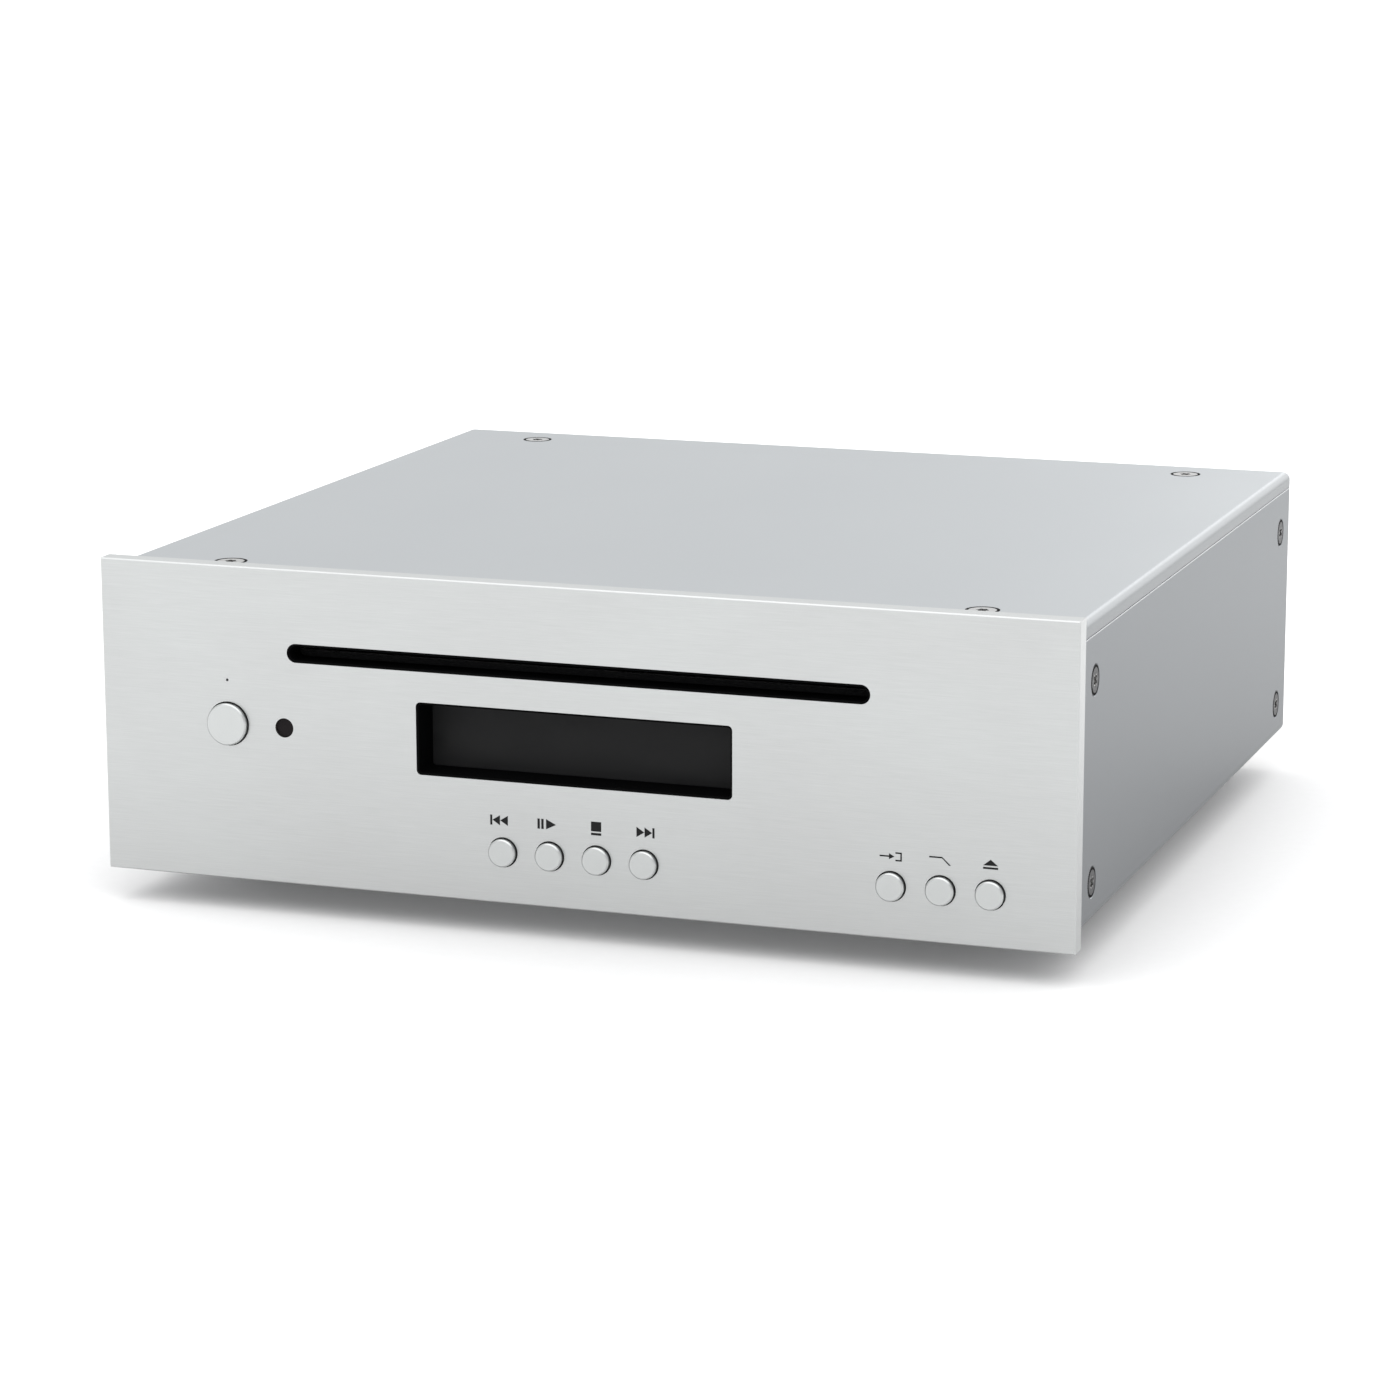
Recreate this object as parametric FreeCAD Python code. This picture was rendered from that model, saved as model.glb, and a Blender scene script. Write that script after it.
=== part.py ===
import FreeCAD
import Part
import math
import os
from FreeCAD import Placement, Rotation, Vector

# A slot-loading compact disc player in a flat aluminium case.
# Millimetres.  +X is to the right of someone facing the fascia, +Y runs from the
# fascia to the rear sockets and +Z is up.  The origin is on the surface that the
# feet stand on, under the middle of the whole player.

# ---------------------------------------------------------------- case
FASCIA_WIDTH = 206.0
FASCIA_HEIGHT = 65.2
FASCIA_THICKNESS = 4.2
FASCIA_OVERHANG = 0.8        # fascia beyond each side of the case
FASCIA_RISE = 1.7            # fascia above the top cover
FASCIA_DROP = 2.4            # fascia below the case floor
FASCIA_CHAMFER = 0.25
CASE_LENGTH = 189.8          # behind the fascia
SHEET = 1.5                  # case tray and rear panel
TRAY_BEND = 2.0              # outer radius of the tray's two bends
COVER_SHEET = 2.0
COVER_LIP = 3.3              # depth of the cover's rolled sides
COVER_EDGE = 1.6             # outer radius of those sides
SEAM = 0.15                  # gap between cover and tray
REAR_RECESS = 1.5            # rear panel inside the ends of the tray
FOOT_HEIGHT = 9.2
FOOT_RADIUS = 10.0
FOOT_INSET = 24.0            # foot centre from the side of the case
FOOT_SETBACK = 30.0          # foot centre from the fascia and from the rear
VENT_WIDTH = 3.0
VENT_LENGTH = 28.0
VENT_PITCH = 7.0
VENT_COUNT = 9
FOOT_WELL = 4.0              # radius of the screw's well under a foot
FOOT_WELL_FLOOR = 3.0

# ---------------------------------------------------------------- fascia features
SLOT_WIDTH = 123.2           # for a 120 mm disc
SLOT_HEIGHT = 3.9
SLOT_LEVEL = 48.1            # above the fascia's lower edge
WINDOW_WIDTH = 67.0
WINDOW_HEIGHT = 14.9
WINDOW_RADIUS = 1.0
WINDOW_LEVEL = 32.5
WINDOW_DEPTH = 7.5           # front face to display glass
BEZEL_WALL = 0.4
BEZEL_SET_IN = 0.3           # bezels behind the fascia's front face
SLOT_FLANGE = 4.0            # slot bezel's flange beyond each end of the slot
SLOT_FLANGE_RISE = 2.55      # and above and below it
WINDOW_FLANGE = 2.5          # display bezel's flange around the window
LIP_THICKNESS = 1.0          # felt lips behind the slot
LIP_GAP = 0.6
LIP_HEIGHT = 4.0
PIPE_RADIUS = 1.5            # light pipe behind the small lamp hole
LAMP_HEIGHT = 4.0
FASCIA_SCREW_DEPTH = 2.8     # blind holes in the fascia's back
GLASS = 1.0
KEY_LEVEL = 10.5
KEY_PITCH = 10.0
KEY_HOLE = 3.1               # radius
KEY_GAP = 0.25               # between a key and its hole
TRANSPORT_START = -15.0      # first of the four transport keys
FUNCTION_INSET = 37.0        # first of the three function keys, from the fascia's right end
POWER_INSET = 28.0           # from the fascia's left end
POWER_HOLE = 4.6             # radius
LED_HOLE = 0.3               # radius
LED_LEVEL = 41.6
INFRARED_INSET = 40.5        # from the fascia's left end
INFRARED_HOLE = 2.0          # radius
KEY_PROUD = 1.2              # key above the fascia
KEY_TRAVEL = 0.5
KEY_CHAMFER = 0.25
KEY_FLANGE = 0.9             # flange beyond the key's radius
KEY_FLANGE_THICKNESS = 0.8
KEY_STEM = 1.5               # radius
FIT = 0.05                   # clearance between pieces that push together
RUNNING = 0.1                # radial clearance of shafts and stems

# ---------------------------------------------------------------- screws
CASE_SCREW_HEAD = 3.0        # radius of the countersunk heads
CASE_SCREW_SHANK = 1.5
CASE_SCREW_LENGTH = 7.0
COUNTERSINK_GAP = 0.3        # ring around each head
COVER_SCREW_X = 80.0
COVER_SCREW_FRONT = 9.2      # behind the fascia
COVER_SCREW_REAR = 10.1      # ahead of the rear end
SIDE_SCREW_FRONT = 10.8
SIDE_SCREW_REAR = 8.8
SIDE_SCREW_LOW = 8.3         # above the case floor
SIDE_SCREW_HIGH = 48.5
PAN_HEAD = 2.7
PAN_HEAD_HEIGHT = 1.8
PAN_SHANK = 1.4

# ---------------------------------------------------------------- front frame and boards
FRAME_SHEET = 1.2            # frame behind the fascia
FRAME_GAP = 0.1              # frame and rear panel inside the tray and cover
TAB_REACH = 16.0             # folded tabs that take the case screws
TAB_WIDTH = 12.0
GUIDE_OFFSET = 1.8           # fascia back to the key guides
GUIDE_THICKNESS = 1.5
BOARD = 1.6
FRONT_BOARD_OFFSET = 10.0    # fascia back to front board
FRONT_BOARD_GAP = 6.7        # board to the inner side of the case
FRONT_BOARD_LOW = 2.0        # above the case floor's inner face
FRONT_BOARD_HIGH = 39.5
SPACER_INSET = 3.0           # from the board's ends
SPACER_LEVELS = (15.5, 35.5)   # above the case floor's inner face
SPACER_RADIUS = 2.5
SWITCH_SIZE = 6.0
RECEIVER_WIDTH = 6.0         # infrared receiver
RECEIVER_HEIGHT = 6.8
RECEIVER_DEPTH = 2.8
RECEIVER_LENS = 2.2          # radius
RECEIVER_DOME = 1.6
SWITCH_HEIGHT = 3.5
SWITCH_WELL = 1.4            # radius
SWITCH_WELL_DEPTH = 2.0
KEY_TIP = 1.2                # radius of the stem's tip inside the switch
STANDOFF_HEIGHT = 6.0
STANDOFF_RADIUS = 3.0
STANDOFF_FLOOR = 1.0         # metal left under the thread
STANDOFF_SPACE = 8.0         # rear standoffs ahead of the socket housings
MAIN_BOARD_GAP = 1.0         # board to the loader's posts
MAIN_BOARD_FRONT = 32.0      # behind the fascia
MAIN_BOARD_REAR = 4.0        # ahead of the rear end
MAIN_BOARD_INSET = 5.0       # standoffs from the board's edges
CHIP_SIDE = 14.0             # the largest package
CHIP_HEIGHT = 1.6
BOARD_SCREW = 5.5            # length under the head
RESERVOIR_RADIUS = 6.0
RESERVOIR_HEIGHT = 18.0
RESERVOIR_SPACE = 2.0        # between two of them
RESERVOIR_GAP = 5.1          # ahead of the socket housings
COUPLING_RADIUS = 3.2
COUPLING_HEIGHT = 8.0
HEATSINK_WIDTH = 34.0
HEATSINK_DEPTH = 9.0
HEATSINK_HEIGHT = 16.0
HEATSINK_START = 2.0         # left end from the middle
HEATSINK_SHEET = 2.0
HEATSINK_GAP = 7.6           # ahead of the socket housings
HEATSINK_FINS = 9
CABLE_WIDTH = 30.0
HEADER_LEVEL = 16.0          # front board's cable header above the case floor's inner face
CABLE = 0.4

# ---------------------------------------------------------------- rear sockets
SOCKET_REACH = 7.5           # phono barrels beyond the rear end of the case
SOCKET_LEVEL = 15.0          # above the case floor
SOCKET_DEPTH = 12.0          # housings behind the rear panel
SOCKET_HALF = 5.5            # half width of a housing
PHONO_BARREL = 4.15          # radius
PHONO_WALL = 0.75
PHONO_FLANGE = 5.6
PHONO_FLANGE_THICKNESS = 1.2
PHONO_TAIL = 2.0             # barrel behind the rear panel
PHONO_RECESS = 0.4           # insulator inside the barrel's mouth
CONTACT_RADIUS = 1.65
LINE_OUT_INSET = (32.2, 48.2)   # left and right channel, from the case's right side
COAX_INSET = (72.2, 138.2)      # digital out and digital in
OPTICAL_INSET = (90.2, 120.2)   # digital out and digital in
OPTICAL_HALF = 5.0
OPTICAL_SNOUT = 9.6
OPTICAL_PROUD = 1.6
OPTICAL_MOUTH = 7.2
OPTICAL_CAVITY = 9.5
FLAP_THICKNESS = 0.8
FLAP_PIN = 0.45              # radius
FLAP_TRUNNION = 0.5          # pin beyond each side of the mouth
FLAP_SWING = 80.0            # degrees
INLET_INSET = 32.2           # from the case's left side
INLET_SNOUT = 4.2            # radius
INLET_MOUTH = 3.1            # radius
INLET_CAVITY = 10.0
INLET_PIN = 1.05
INLET_PROUD = 0.3

# ---------------------------------------------------------------- disc loader
DISC_RADIUS = 60.0
DISC_THICKNESS = 1.2
LOADER_OFFSET = 14.0         # fascia back to loader
LOADER_HALF = 75.0
LOADER_SHEET = 1.2
LOADER_TOP_GAP = 2.4         # under the top cover
LOADER_FLOOR_DROP = 15.4     # disc path down to the loader's floor
FLOOR_START = 31.0           # the loader's floor starts this far behind its front
SPINDLE_SETBACK = 68.0       # behind the loader's front
SPINDLE_TO_BACK = 73.0       # to the loader's back wall
EAR_MARGIN = 6.0             # ear beyond its post's axis
EAR_WIDTH = 12.0
FLANGE_REACH = 7.0           # inward flanges that take the loader cover's screws
LUG_SHEET = 1.2
POST_RADIUS = 3.5
DAMPER_RADIUS = 4.5
DAMPER_HEIGHT = 4.0
GUIDE_LENGTH = 15.0          # fixed guide above the roller
GUIDE_SHEET = 1.5
SEAT_DROP = 2.6              # the disc sinks this far from its path to its seat
SEAT_RADIUS = 15.0
SEAT_THICKNESS = 1.6
CONE_RADIUS = 7.4
CONE_HEIGHT = 2.0
HUB_RADIUS = 4.0
HUB_HEIGHT = 3.6
SPINDLE_RADIUS = 1.0
TRAVERSE_SHEET = 1.2
TRAVERSE_DROP = 9.2          # disc seat to the traverse plate's underside
TRAVERSE_HALF = 60.0
TRAVERSE_FRONT = 16.0        # ahead of the spindle
TRAVERSE_REAR = 72.2         # behind the spindle
GROMMET_RADIUS = 4.0
GROMMET_NECK = 2.5
AXLE_RADIUS = 1.0
GROMMET_X = 55.0
GROMMET_Y = (-10.0, 62.0)    # from the spindle
SPINDLE_MOTOR_RADIUS = 11.0
SPINDLE_MOTOR_HEIGHT = 7.5
ROD_RADIUS = 1.25
ROD_SPACING = 40.0
ROD_DROP = 4.0               # disc seat down to the rods' axes
SLED_TOP_DROP = 2.0
SLED_HEIGHT = 4.2
SLED_HALF = 24.0
SLED_LENGTH = 20.0
LENS_START = 23.0            # inner track from the spindle
SLED_TRAVEL = 35.0
LENS_RADIUS = 3.0
LENS_RISE = 1.0              # lens above the sled
LENS_TRAVEL = 0.4
RACK_MODULE = 0.6
RACK_TEETH = 20
RACK_OFFSET = 2.0            # pitch line outside the sled
RACK_WIDTH = 1.6
RACK_PINION_TEETH = 14
WHEEL_MODULE = 0.5
WHEEL_TEETH = 40
WHEEL_AHEAD = 2.0            # rack pinion ahead of the sled's rear edge at rest
MOTOR_PINION_TEETH = 12
SLED_MOTOR_ANGLE = 150.0     # from the wheel's axis, in degrees
SLED_MOTOR_RADIUS = 7.5
SLED_MOTOR_HEIGHT = 11.0
CLAMP_HINGE = 66.0           # behind the spindle
CLAMP_SHEET = 1.0
CLAMP_HALF = 8.0
CLAMP_REACH = 16.0           # arm beyond the spindle
CLAMP_HINGE_HALF = 30.0
CLAMP_FLARE = 30.0           # the arm widens over this length ahead of its hinge
CLAMP_FLARE_END = 6.0
CLAMP_KNUCKLE = 10.0         # length of each curl
CLAMP_LIFT = 3.8             # degrees that the empty loader holds the clamp up
CLAMP_ROD = 1.25
CLAMP_CURL = 2.6
CLAMP_PIN_AHEAD = 36.0       # lifting pin ahead of the hinge
PUCK_RADIUS = 14.0
PUCK_THICKNESS = 2.4
PUCK_RECESS = 1.2
PUCK_NECK = 5.0
PUCK_CAP = 9.0
PUCK_PLAY = 0.5
ARM_RISE = 4.3               # puck face up to the arm's underside
ROLLER_SETBACK = 8.0         # roller axis behind the loader's front
ROLLER_SHAFT = 1.5
ROLLER_JOURNAL = 0.9         # the shaft's thin ends, which pass the idler's large wheel
ROLLER_END = 4.5             # radius at the ends
ROLLER_MIDDLE = 3.6          # radius in the middle
ROLLER_ROOM = 12.8           # roller's end to the loader's wall, where the gears run
ROLLER_DROP = 12.0           # degrees that the roller bracket swings down
BRACKET_REACH = 16.0         # roller axis back to the bracket's pivot
BRACKET_DROP = 3.8           # roller axis down to the pivot
BRACKET_SHEET = 1.2
BRACKET_GAP = 0.6            # bracket inside the loader's walls
BRACKET_PIN_BEHIND = 9.0     # bracket's drive pin behind its pivot
PIVOT_PIN = 1.5
GEAR_MODULE = 0.5
GEAR_WIDTH = 2.0
ROLLER_GEAR_TEETH = 24
IDLER_SMALL_TEETH = 12
IDLER_LARGE_TEETH = 30
LOADING_PINION_TEETH = 10
LOADING_MOTOR_RADIUS = 5.0
LOADING_MOTOR_LENGTH = 20.0
LOADING_MOTOR_AHEAD = 2.0    # motor axis ahead of the bracket's pivot
SLIDE_SHEET = 1.2
SLIDE_GAP = 0.2              # outside the loader's wall
SLIDE_SETBACK = 18.0         # behind the loader's front
SLIDE_REACH = 54.0           # behind the spindle
SLIDE_EDGE = 2.5             # sheet above the clamp's pin
SLIDE_DROP = 4.0             # sheet below the bracket's pivot
SLIDE_PIN_START = 36.0       # front pin from the slide's front
SLIDE_PIN_END = 6.0          # rear pin from its rear
SLIDE_PIN_RISE = 2.5         # above the bracket's pivot
SLIDE_TRAVEL = 10.0
SLIDE_PIN = 1.2
SLIDE_PLAY = 0.35

# ---------------------------------------------------------------- places worked out
case_half = FASCIA_WIDTH / 2 - FASCIA_OVERHANG
inner_half = case_half - SHEET
front_board_half = inner_half - FRONT_BOARD_GAP
spacer_x = front_board_half - SPACER_INSET
function_start = FASCIA_WIDTH / 2 - FUNCTION_INSET
power_x = POWER_INSET - FASCIA_WIDTH / 2
infrared_x = INFRARED_INSET - FASCIA_WIDTH / 2
line_out_x = tuple(case_half - inset for inset in LINE_OUT_INSET)
coax_x = tuple(case_half - inset for inset in COAX_INSET)
optical_x = tuple(case_half - inset for inset in OPTICAL_INSET)
inlet_x = INLET_INSET - case_half
case_bottom = FOOT_HEIGHT
floor_level = case_bottom + SHEET
fascia_bottom = case_bottom - FASCIA_DROP
fascia_top = fascia_bottom + FASCIA_HEIGHT
case_top = fascia_top - FASCIA_RISE
cover_underside = case_top - COVER_SHEET
tray_top = case_top - COVER_LIP - SEAM
total_depth = KEY_PROUD + FASCIA_THICKNESS + CASE_LENGTH + SOCKET_REACH
front_y = KEY_PROUD - total_depth / 2
fascia_back = front_y + FASCIA_THICKNESS
rear_end = fascia_back + CASE_LENGTH
rear_face = rear_end - REAR_RECESS
rear_inside = rear_face - SHEET
sockets_start = rear_inside - SOCKET_DEPTH
slot_z = fascia_bottom + SLOT_LEVEL
window_z = fascia_bottom + WINDOW_LEVEL
key_z = fascia_bottom + KEY_LEVEL
led_z = fascia_bottom + LED_LEVEL
glass_y = front_y + WINDOW_DEPTH
board_y = fascia_back + FRONT_BOARD_OFFSET
main_board_z = floor_level + STANDOFF_HEIGHT
main_board_top = main_board_z + BOARD
main_board_front = fascia_back + MAIN_BOARD_FRONT
main_board_rear = rear_end - MAIN_BOARD_REAR
socket_z = case_bottom + SOCKET_LEVEL
socket_tip = rear_end + SOCKET_REACH
loader_front = fascia_back + LOADER_OFFSET
loader_inner = LOADER_HALF - LOADER_SHEET
roller_half = loader_inner - ROLLER_ROOM
loader_floor = slot_z - LOADER_FLOOR_DROP
loader_top = cover_underside - LOADER_TOP_GAP
loader_roof = loader_top - LOADER_SHEET
spindle_y = loader_front + SPINDLE_SETBACK
loader_back = spindle_y + SPINDLE_TO_BACK
seat_z = slot_z - DISC_THICKNESS / 2 - SEAT_DROP
traverse_z = seat_z - TRAVERSE_DROP
traverse_top = traverse_z + TRAVERSE_SHEET
rod_z = seat_z - ROD_DROP
sled_top = seat_z - SLED_TOP_DROP
sled_bottom = sled_top - SLED_HEIGHT
lens_y = spindle_y + LENS_START
rack_x = -SLED_HALF - RACK_OFFSET
wheel_x = rack_x - RACK_PINION_TEETH * RACK_MODULE / 2
wheel_y = lens_y + SLED_LENGTH / 2 - WHEEL_AHEAD
wheel_reach = (WHEEL_TEETH + MOTOR_PINION_TEETH) * WHEEL_MODULE / 2
sled_motor_x = wheel_x + wheel_reach * math.cos(math.radians(SLED_MOTOR_ANGLE))
sled_motor_y = wheel_y + wheel_reach * math.sin(math.radians(SLED_MOTOR_ANGLE))
puck_z = seat_z + DISC_THICKNESS + 2 * FIT
arm_z = puck_z + ARM_RISE
hinge_y = spindle_y + CLAMP_HINGE
hinge_z = arm_z + CLAMP_SHEET / 2
roller_y = loader_front + ROLLER_SETBACK
roller_z = slot_z - DISC_THICKNESS / 2 - ROLLER_END
pivot_y = roller_y + BRACKET_REACH
pivot_z = roller_z - BRACKET_DROP
bracket_outer = loader_inner - BRACKET_GAP
bracket_inner = bracket_outer - BRACKET_SHEET
loading_motor_y = pivot_y - LOADING_MOTOR_AHEAD
loading_motor_z = pivot_z
bracket_floor = loading_motor_z - LOADING_MOTOR_RADIUS - BRACKET_SHEET
slot_flange_width = SLOT_WIDTH + 2 * SLOT_FLANGE
slot_flange_height = SLOT_HEIGHT + 2 * SLOT_FLANGE_RISE
bezel_flange_width = WINDOW_WIDTH + 2 * WINDOW_FLANGE
bezel_flange_height = WINDOW_HEIGHT + 2 * WINDOW_FLANGE
flap_y = rear_face + OPTICAL_PROUD - FLAP_THICKNESS / 2 - 0.5
flap_z = socket_z + OPTICAL_MOUTH / 2 - FLAP_PIN - 2 * FIT
post_x = (LOADER_HALF + front_board_half) / 2
main_board_half = post_x - POST_RADIUS - MAIN_BOARD_GAP
ear_end = post_x + EAR_MARGIN
flange_x = loader_inner - FLANGE_REACH / 2
lug_x = CLAMP_HINGE_HALF + 0.4
ear_rows = (loader_front + 40, loader_back - 12)
flange_rows = (loader_front + 45, loader_back - 16)
post_places = [(side * post_x, y) for side in (-1, 1) for y in ear_rows]
rod_ends = (lens_y - SLED_LENGTH / 2 - 3.5, lens_y + SLED_LENGTH / 2 + SLED_TRAVEL + 2.5)
rack_pitch = math.pi * RACK_MODULE
rack_length = RACK_TEETH * rack_pitch
rack_start = wheel_y - (RACK_TEETH - 0.5) * rack_pitch
pinion_angle = 180.0 / RACK_PINION_TEETH
lens_low = sled_top - 1.6
wheel_low = traverse_top + 0.2
wheel_thickness = sled_bottom - 0.2 - wheel_low
cap_low = arm_z + CLAMP_SHEET + PUCK_PLAY
gear_start = roller_half + 2
motor_end = roller_half - 3

# the idler sits where it meshes with both the roller's gear and the motor's pinion
roller_mesh = (ROLLER_GEAR_TEETH + IDLER_SMALL_TEETH) * GEAR_MODULE / 2
motor_mesh = (IDLER_LARGE_TEETH + LOADING_PINION_TEETH) * GEAR_MODULE / 2
span_y = loading_motor_y - roller_y
span_z = loading_motor_z - roller_z
span = math.hypot(span_y, span_z)
along = (roller_mesh ** 2 - motor_mesh ** 2 + span ** 2) / (2 * span)
across = math.sqrt(roller_mesh ** 2 - along ** 2)
idler_y = roller_y + (along * span_y - across * span_z) / span
idler_z = roller_z + (along * span_z + across * span_y) / span
idler_direction = math.degrees(math.atan2(idler_z - roller_z, idler_y - roller_y))
pinion_direction = math.degrees(math.atan2(loading_motor_z - idler_z, loading_motor_y - idler_y))

X_AXIS = Vector(1, 0, 0)
Y_AXIS = Vector(0, 1, 0)
Z_AXIS = Vector(0, 0, 1)

power_key = ("power_button", power_x, window_z, POWER_HOLE)
transport_keys = [
    (name, TRANSPORT_START + i * KEY_PITCH, key_z, KEY_HOLE)
    for i, name in enumerate(("previous_button", "play_button", "stop_button", "next_button"))
]
function_keys = [
    (name, function_start + i * KEY_PITCH, key_z, KEY_HOLE)
    for i, name in enumerate(("input_button", "filter_button", "eject_button"))
]
keys = [power_key] + transport_keys + function_keys


# ---------------------------------------------------------------- shape helpers
def box(x0, x1, y0, y1, z0, z1):
    return Part.makeBox(x1 - x0, y1 - y0, z1 - z0, Vector(x0, y0, z0))


def bar(x, y, z, radius, length, axis):
    return Part.makeCylinder(radius, length, Vector(x, y, z), axis)


def fuse(shapes):
    whole = shapes[0].multiFuse(shapes[1:]) if len(shapes) > 1 else shapes[0]
    return whole.removeSplitter()


def group(shapes):
    return Part.makeCompound(shapes)


def edges_along(shape, axis):
    found = []
    for edge in shape.Edges:
        if abs(edge.tangentAt(edge.FirstParameter).dot(axis)) > 0.999 and edge.Curve.TypeId.endswith("Line"):
            found.append(edge)
    return found


def rounded_block(x, z, width, height, radius, y0, y1):
    block = box(x - width / 2, x + width / 2, y0, y1, z - height / 2, z + height / 2)
    return block.makeFillet(radius, edges_along(block, Y_AXIS))


def stadium(x, z, width, height, y0, y1):
    half = (width - height) / 2
    middle = box(x - half, x + half, y0, y1, z - height / 2, z + height / 2)
    ends = [bar(x + side * half, y0, z, height / 2, y1 - y0, Y_AXIS) for side in (-1, 1)]
    return fuse([middle] + ends)


def prism(points, direction):
    return Part.Face(Part.makePolygon(points + [points[0]])).extrude(direction)


def hexagon(x, y, z, across, height, axis):
    radius = across / math.sqrt(3)
    points = []
    for i in range(6):
        angle = math.radians(60 * i)
        points.append(Vector(radius * math.cos(angle), radius * math.sin(angle), 0))
    nut = prism(points, Vector(0, 0, height))
    nut.Placement = Placement(Vector(x, y, z), Rotation(Z_AXIS, axis))
    return nut


def moved(shape, x, y, z):
    copy = shape.copy()
    copy.translate(Vector(x, y, z))
    return copy


def gear(teeth, module, width, first_angle):
    """A spur gear about +Z from z = 0, with one tooth centred on first_angle in degrees."""
    pitch_radius = teeth * module / 2
    root = pitch_radius - 1.2 * module
    tip = pitch_radius + 0.9 * module
    half_pitch_tooth = math.pi / (2 * teeth) * 0.8
    slope = math.tan(math.radians(20))
    half_root = half_pitch_tooth + slope * 1.2 * module / pitch_radius
    half_tip = half_pitch_tooth - slope * 0.9 * module / pitch_radius
    points = []
    for i in range(teeth):
        middle = math.radians(first_angle) + 2 * math.pi * i / teeth
        for radius, offset in ((root, -half_root), (tip, -half_tip), (tip, half_tip), (root, half_root)):
            angle = middle + offset
            points.append(Vector(radius * math.cos(angle), radius * math.sin(angle), 0))
    return prism(points, Vector(0, 0, width))


def along_x(shape, x, y, z):
    """Lays a shape made about +Z along +X: its own x turns to Y and its own y to Z."""
    copy = shape.copy()
    copy.Placement = Placement(Vector(x, y, z), Rotation(Vector(1, 1, 1), 120))
    return copy


def countersunk_cut(depth):
    """The hole for a case screw, with its mouth at z = 0 and its depth along -Z."""
    mouth = CASE_SCREW_HEAD + COUNTERSINK_GAP
    throat = CASE_SCREW_SHANK + COUNTERSINK_GAP
    cone = Part.makeCone(throat, mouth, mouth - throat, Vector(0, 0, throat - mouth), Z_AXIS)
    through = bar(0, 0, -depth, throat, depth, Z_AXIS)
    return cone.fuse(through)


def case_screw():
    """A countersunk machine screw with its head flush at z = 0 and a six-lobed drive."""
    head_depth = CASE_SCREW_HEAD - CASE_SCREW_SHANK
    rim = 0.25
    outline = [
        Vector(0, 0, 0),
        Vector(CASE_SCREW_HEAD, 0, 0),
        Vector(CASE_SCREW_HEAD, 0, -rim),
        Vector(CASE_SCREW_SHANK, 0, -rim - head_depth),
        Vector(CASE_SCREW_SHANK, 0, -CASE_SCREW_LENGTH),
        Vector(0, 0, -CASE_SCREW_LENGTH),
    ]
    screw = Part.Face(Part.makePolygon(outline + [outline[0]])).revolve(Vector(0, 0, 0), Z_AXIS, 360)
    drive_radius = CASE_SCREW_HEAD * 0.32
    lobes = [bar(0, 0, -1.2, drive_radius, 1.3, Z_AXIS)]
    for i in range(6):
        angle = math.radians(60 * i)
        x = drive_radius * math.cos(angle)
        y = drive_radius * math.sin(angle)
        lobes.append(bar(x, y, -1.2, drive_radius * 0.34, 1.3, Z_AXIS))
    return screw.cut(fuse(lobes))


def pan_screw(length):
    """A pan-head screw whose head sits on z = 0 with its shank along -Z."""
    head = bar(0, 0, 0, PAN_HEAD, PAN_HEAD_HEIGHT, Z_AXIS)
    top = PAN_HEAD_HEIGHT * 0.9
    rim = [e for e in head.Edges if e.BoundBox.ZMin > top and e.BoundBox.XLength > PAN_HEAD]
    head = head.makeFillet(PAN_HEAD_HEIGHT * 0.4, rim)
    shank = bar(0, 0, -length, PAN_SHANK, length, Z_AXIS)
    cross = fuse([
        box(-PAN_HEAD * 0.55, PAN_HEAD * 0.55, -0.3, 0.3, PAN_HEAD_HEIGHT * 0.5, PAN_HEAD_HEIGHT + 1),
        box(-0.3, 0.3, -PAN_HEAD * 0.55, PAN_HEAD * 0.55, PAN_HEAD_HEIGHT * 0.5, PAN_HEAD_HEIGHT + 1),
    ])
    return fuse([head, shank]).cut(cross)


def placed(shape, x, y, z, axis):
    """Turns a shape made along +Z to point along axis, and moves it."""
    copy = shape.copy()
    copy.Placement = Placement(Vector(x, y, z), Rotation(Z_AXIS, axis))
    return copy


# ---------------------------------------------------------------- fixing places
cover_screw_places = [
    (side * COVER_SCREW_X, y)
    for side in (-1, 1)
    for y in (fascia_back + COVER_SCREW_FRONT, rear_end - COVER_SCREW_REAR)
]
side_screw_places = [
    (side, y, case_bottom + z)
    for side in (-1, 1)
    for y in (fascia_back + SIDE_SCREW_FRONT, rear_end - SIDE_SCREW_REAR)
    for z in (SIDE_SCREW_LOW, SIDE_SCREW_HIGH)
]
foot_places = [
    (side * (case_half - FOOT_INSET), y)
    for side in (-1, 1)
    for y in (fascia_back + FOOT_SETBACK, rear_end - FOOT_SETBACK)
]
fascia_screw_places = [
    (-case_half + 5.7, window_z - 3),
    (case_half - 5.7, window_z - 3),
    (-WINDOW_WIDTH / 2 - 11.5, key_z),
    (WINDOW_WIDTH / 2 + 11.5, key_z + 12.7),
    (-WINDOW_WIDTH / 2 - 11.5, fascia_top - 7),
    (WINDOW_WIDTH / 2 + 11.5, fascia_top - 7),
]
guide_screw_places = [
    (power_x - 6, window_z - 6),
    (infrared_x + 3.2, led_z),
    (TRANSPORT_START - 6.9, key_z),
    ((TRANSPORT_START + 3 * KEY_PITCH + function_start) / 2, key_z),
    (function_start + 2 * KEY_PITCH + 6.7, key_z),
]
spacer_places = [(side * spacer_x, floor_level + level) for side in (-1, 1) for level in SPACER_LEVELS]
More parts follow.
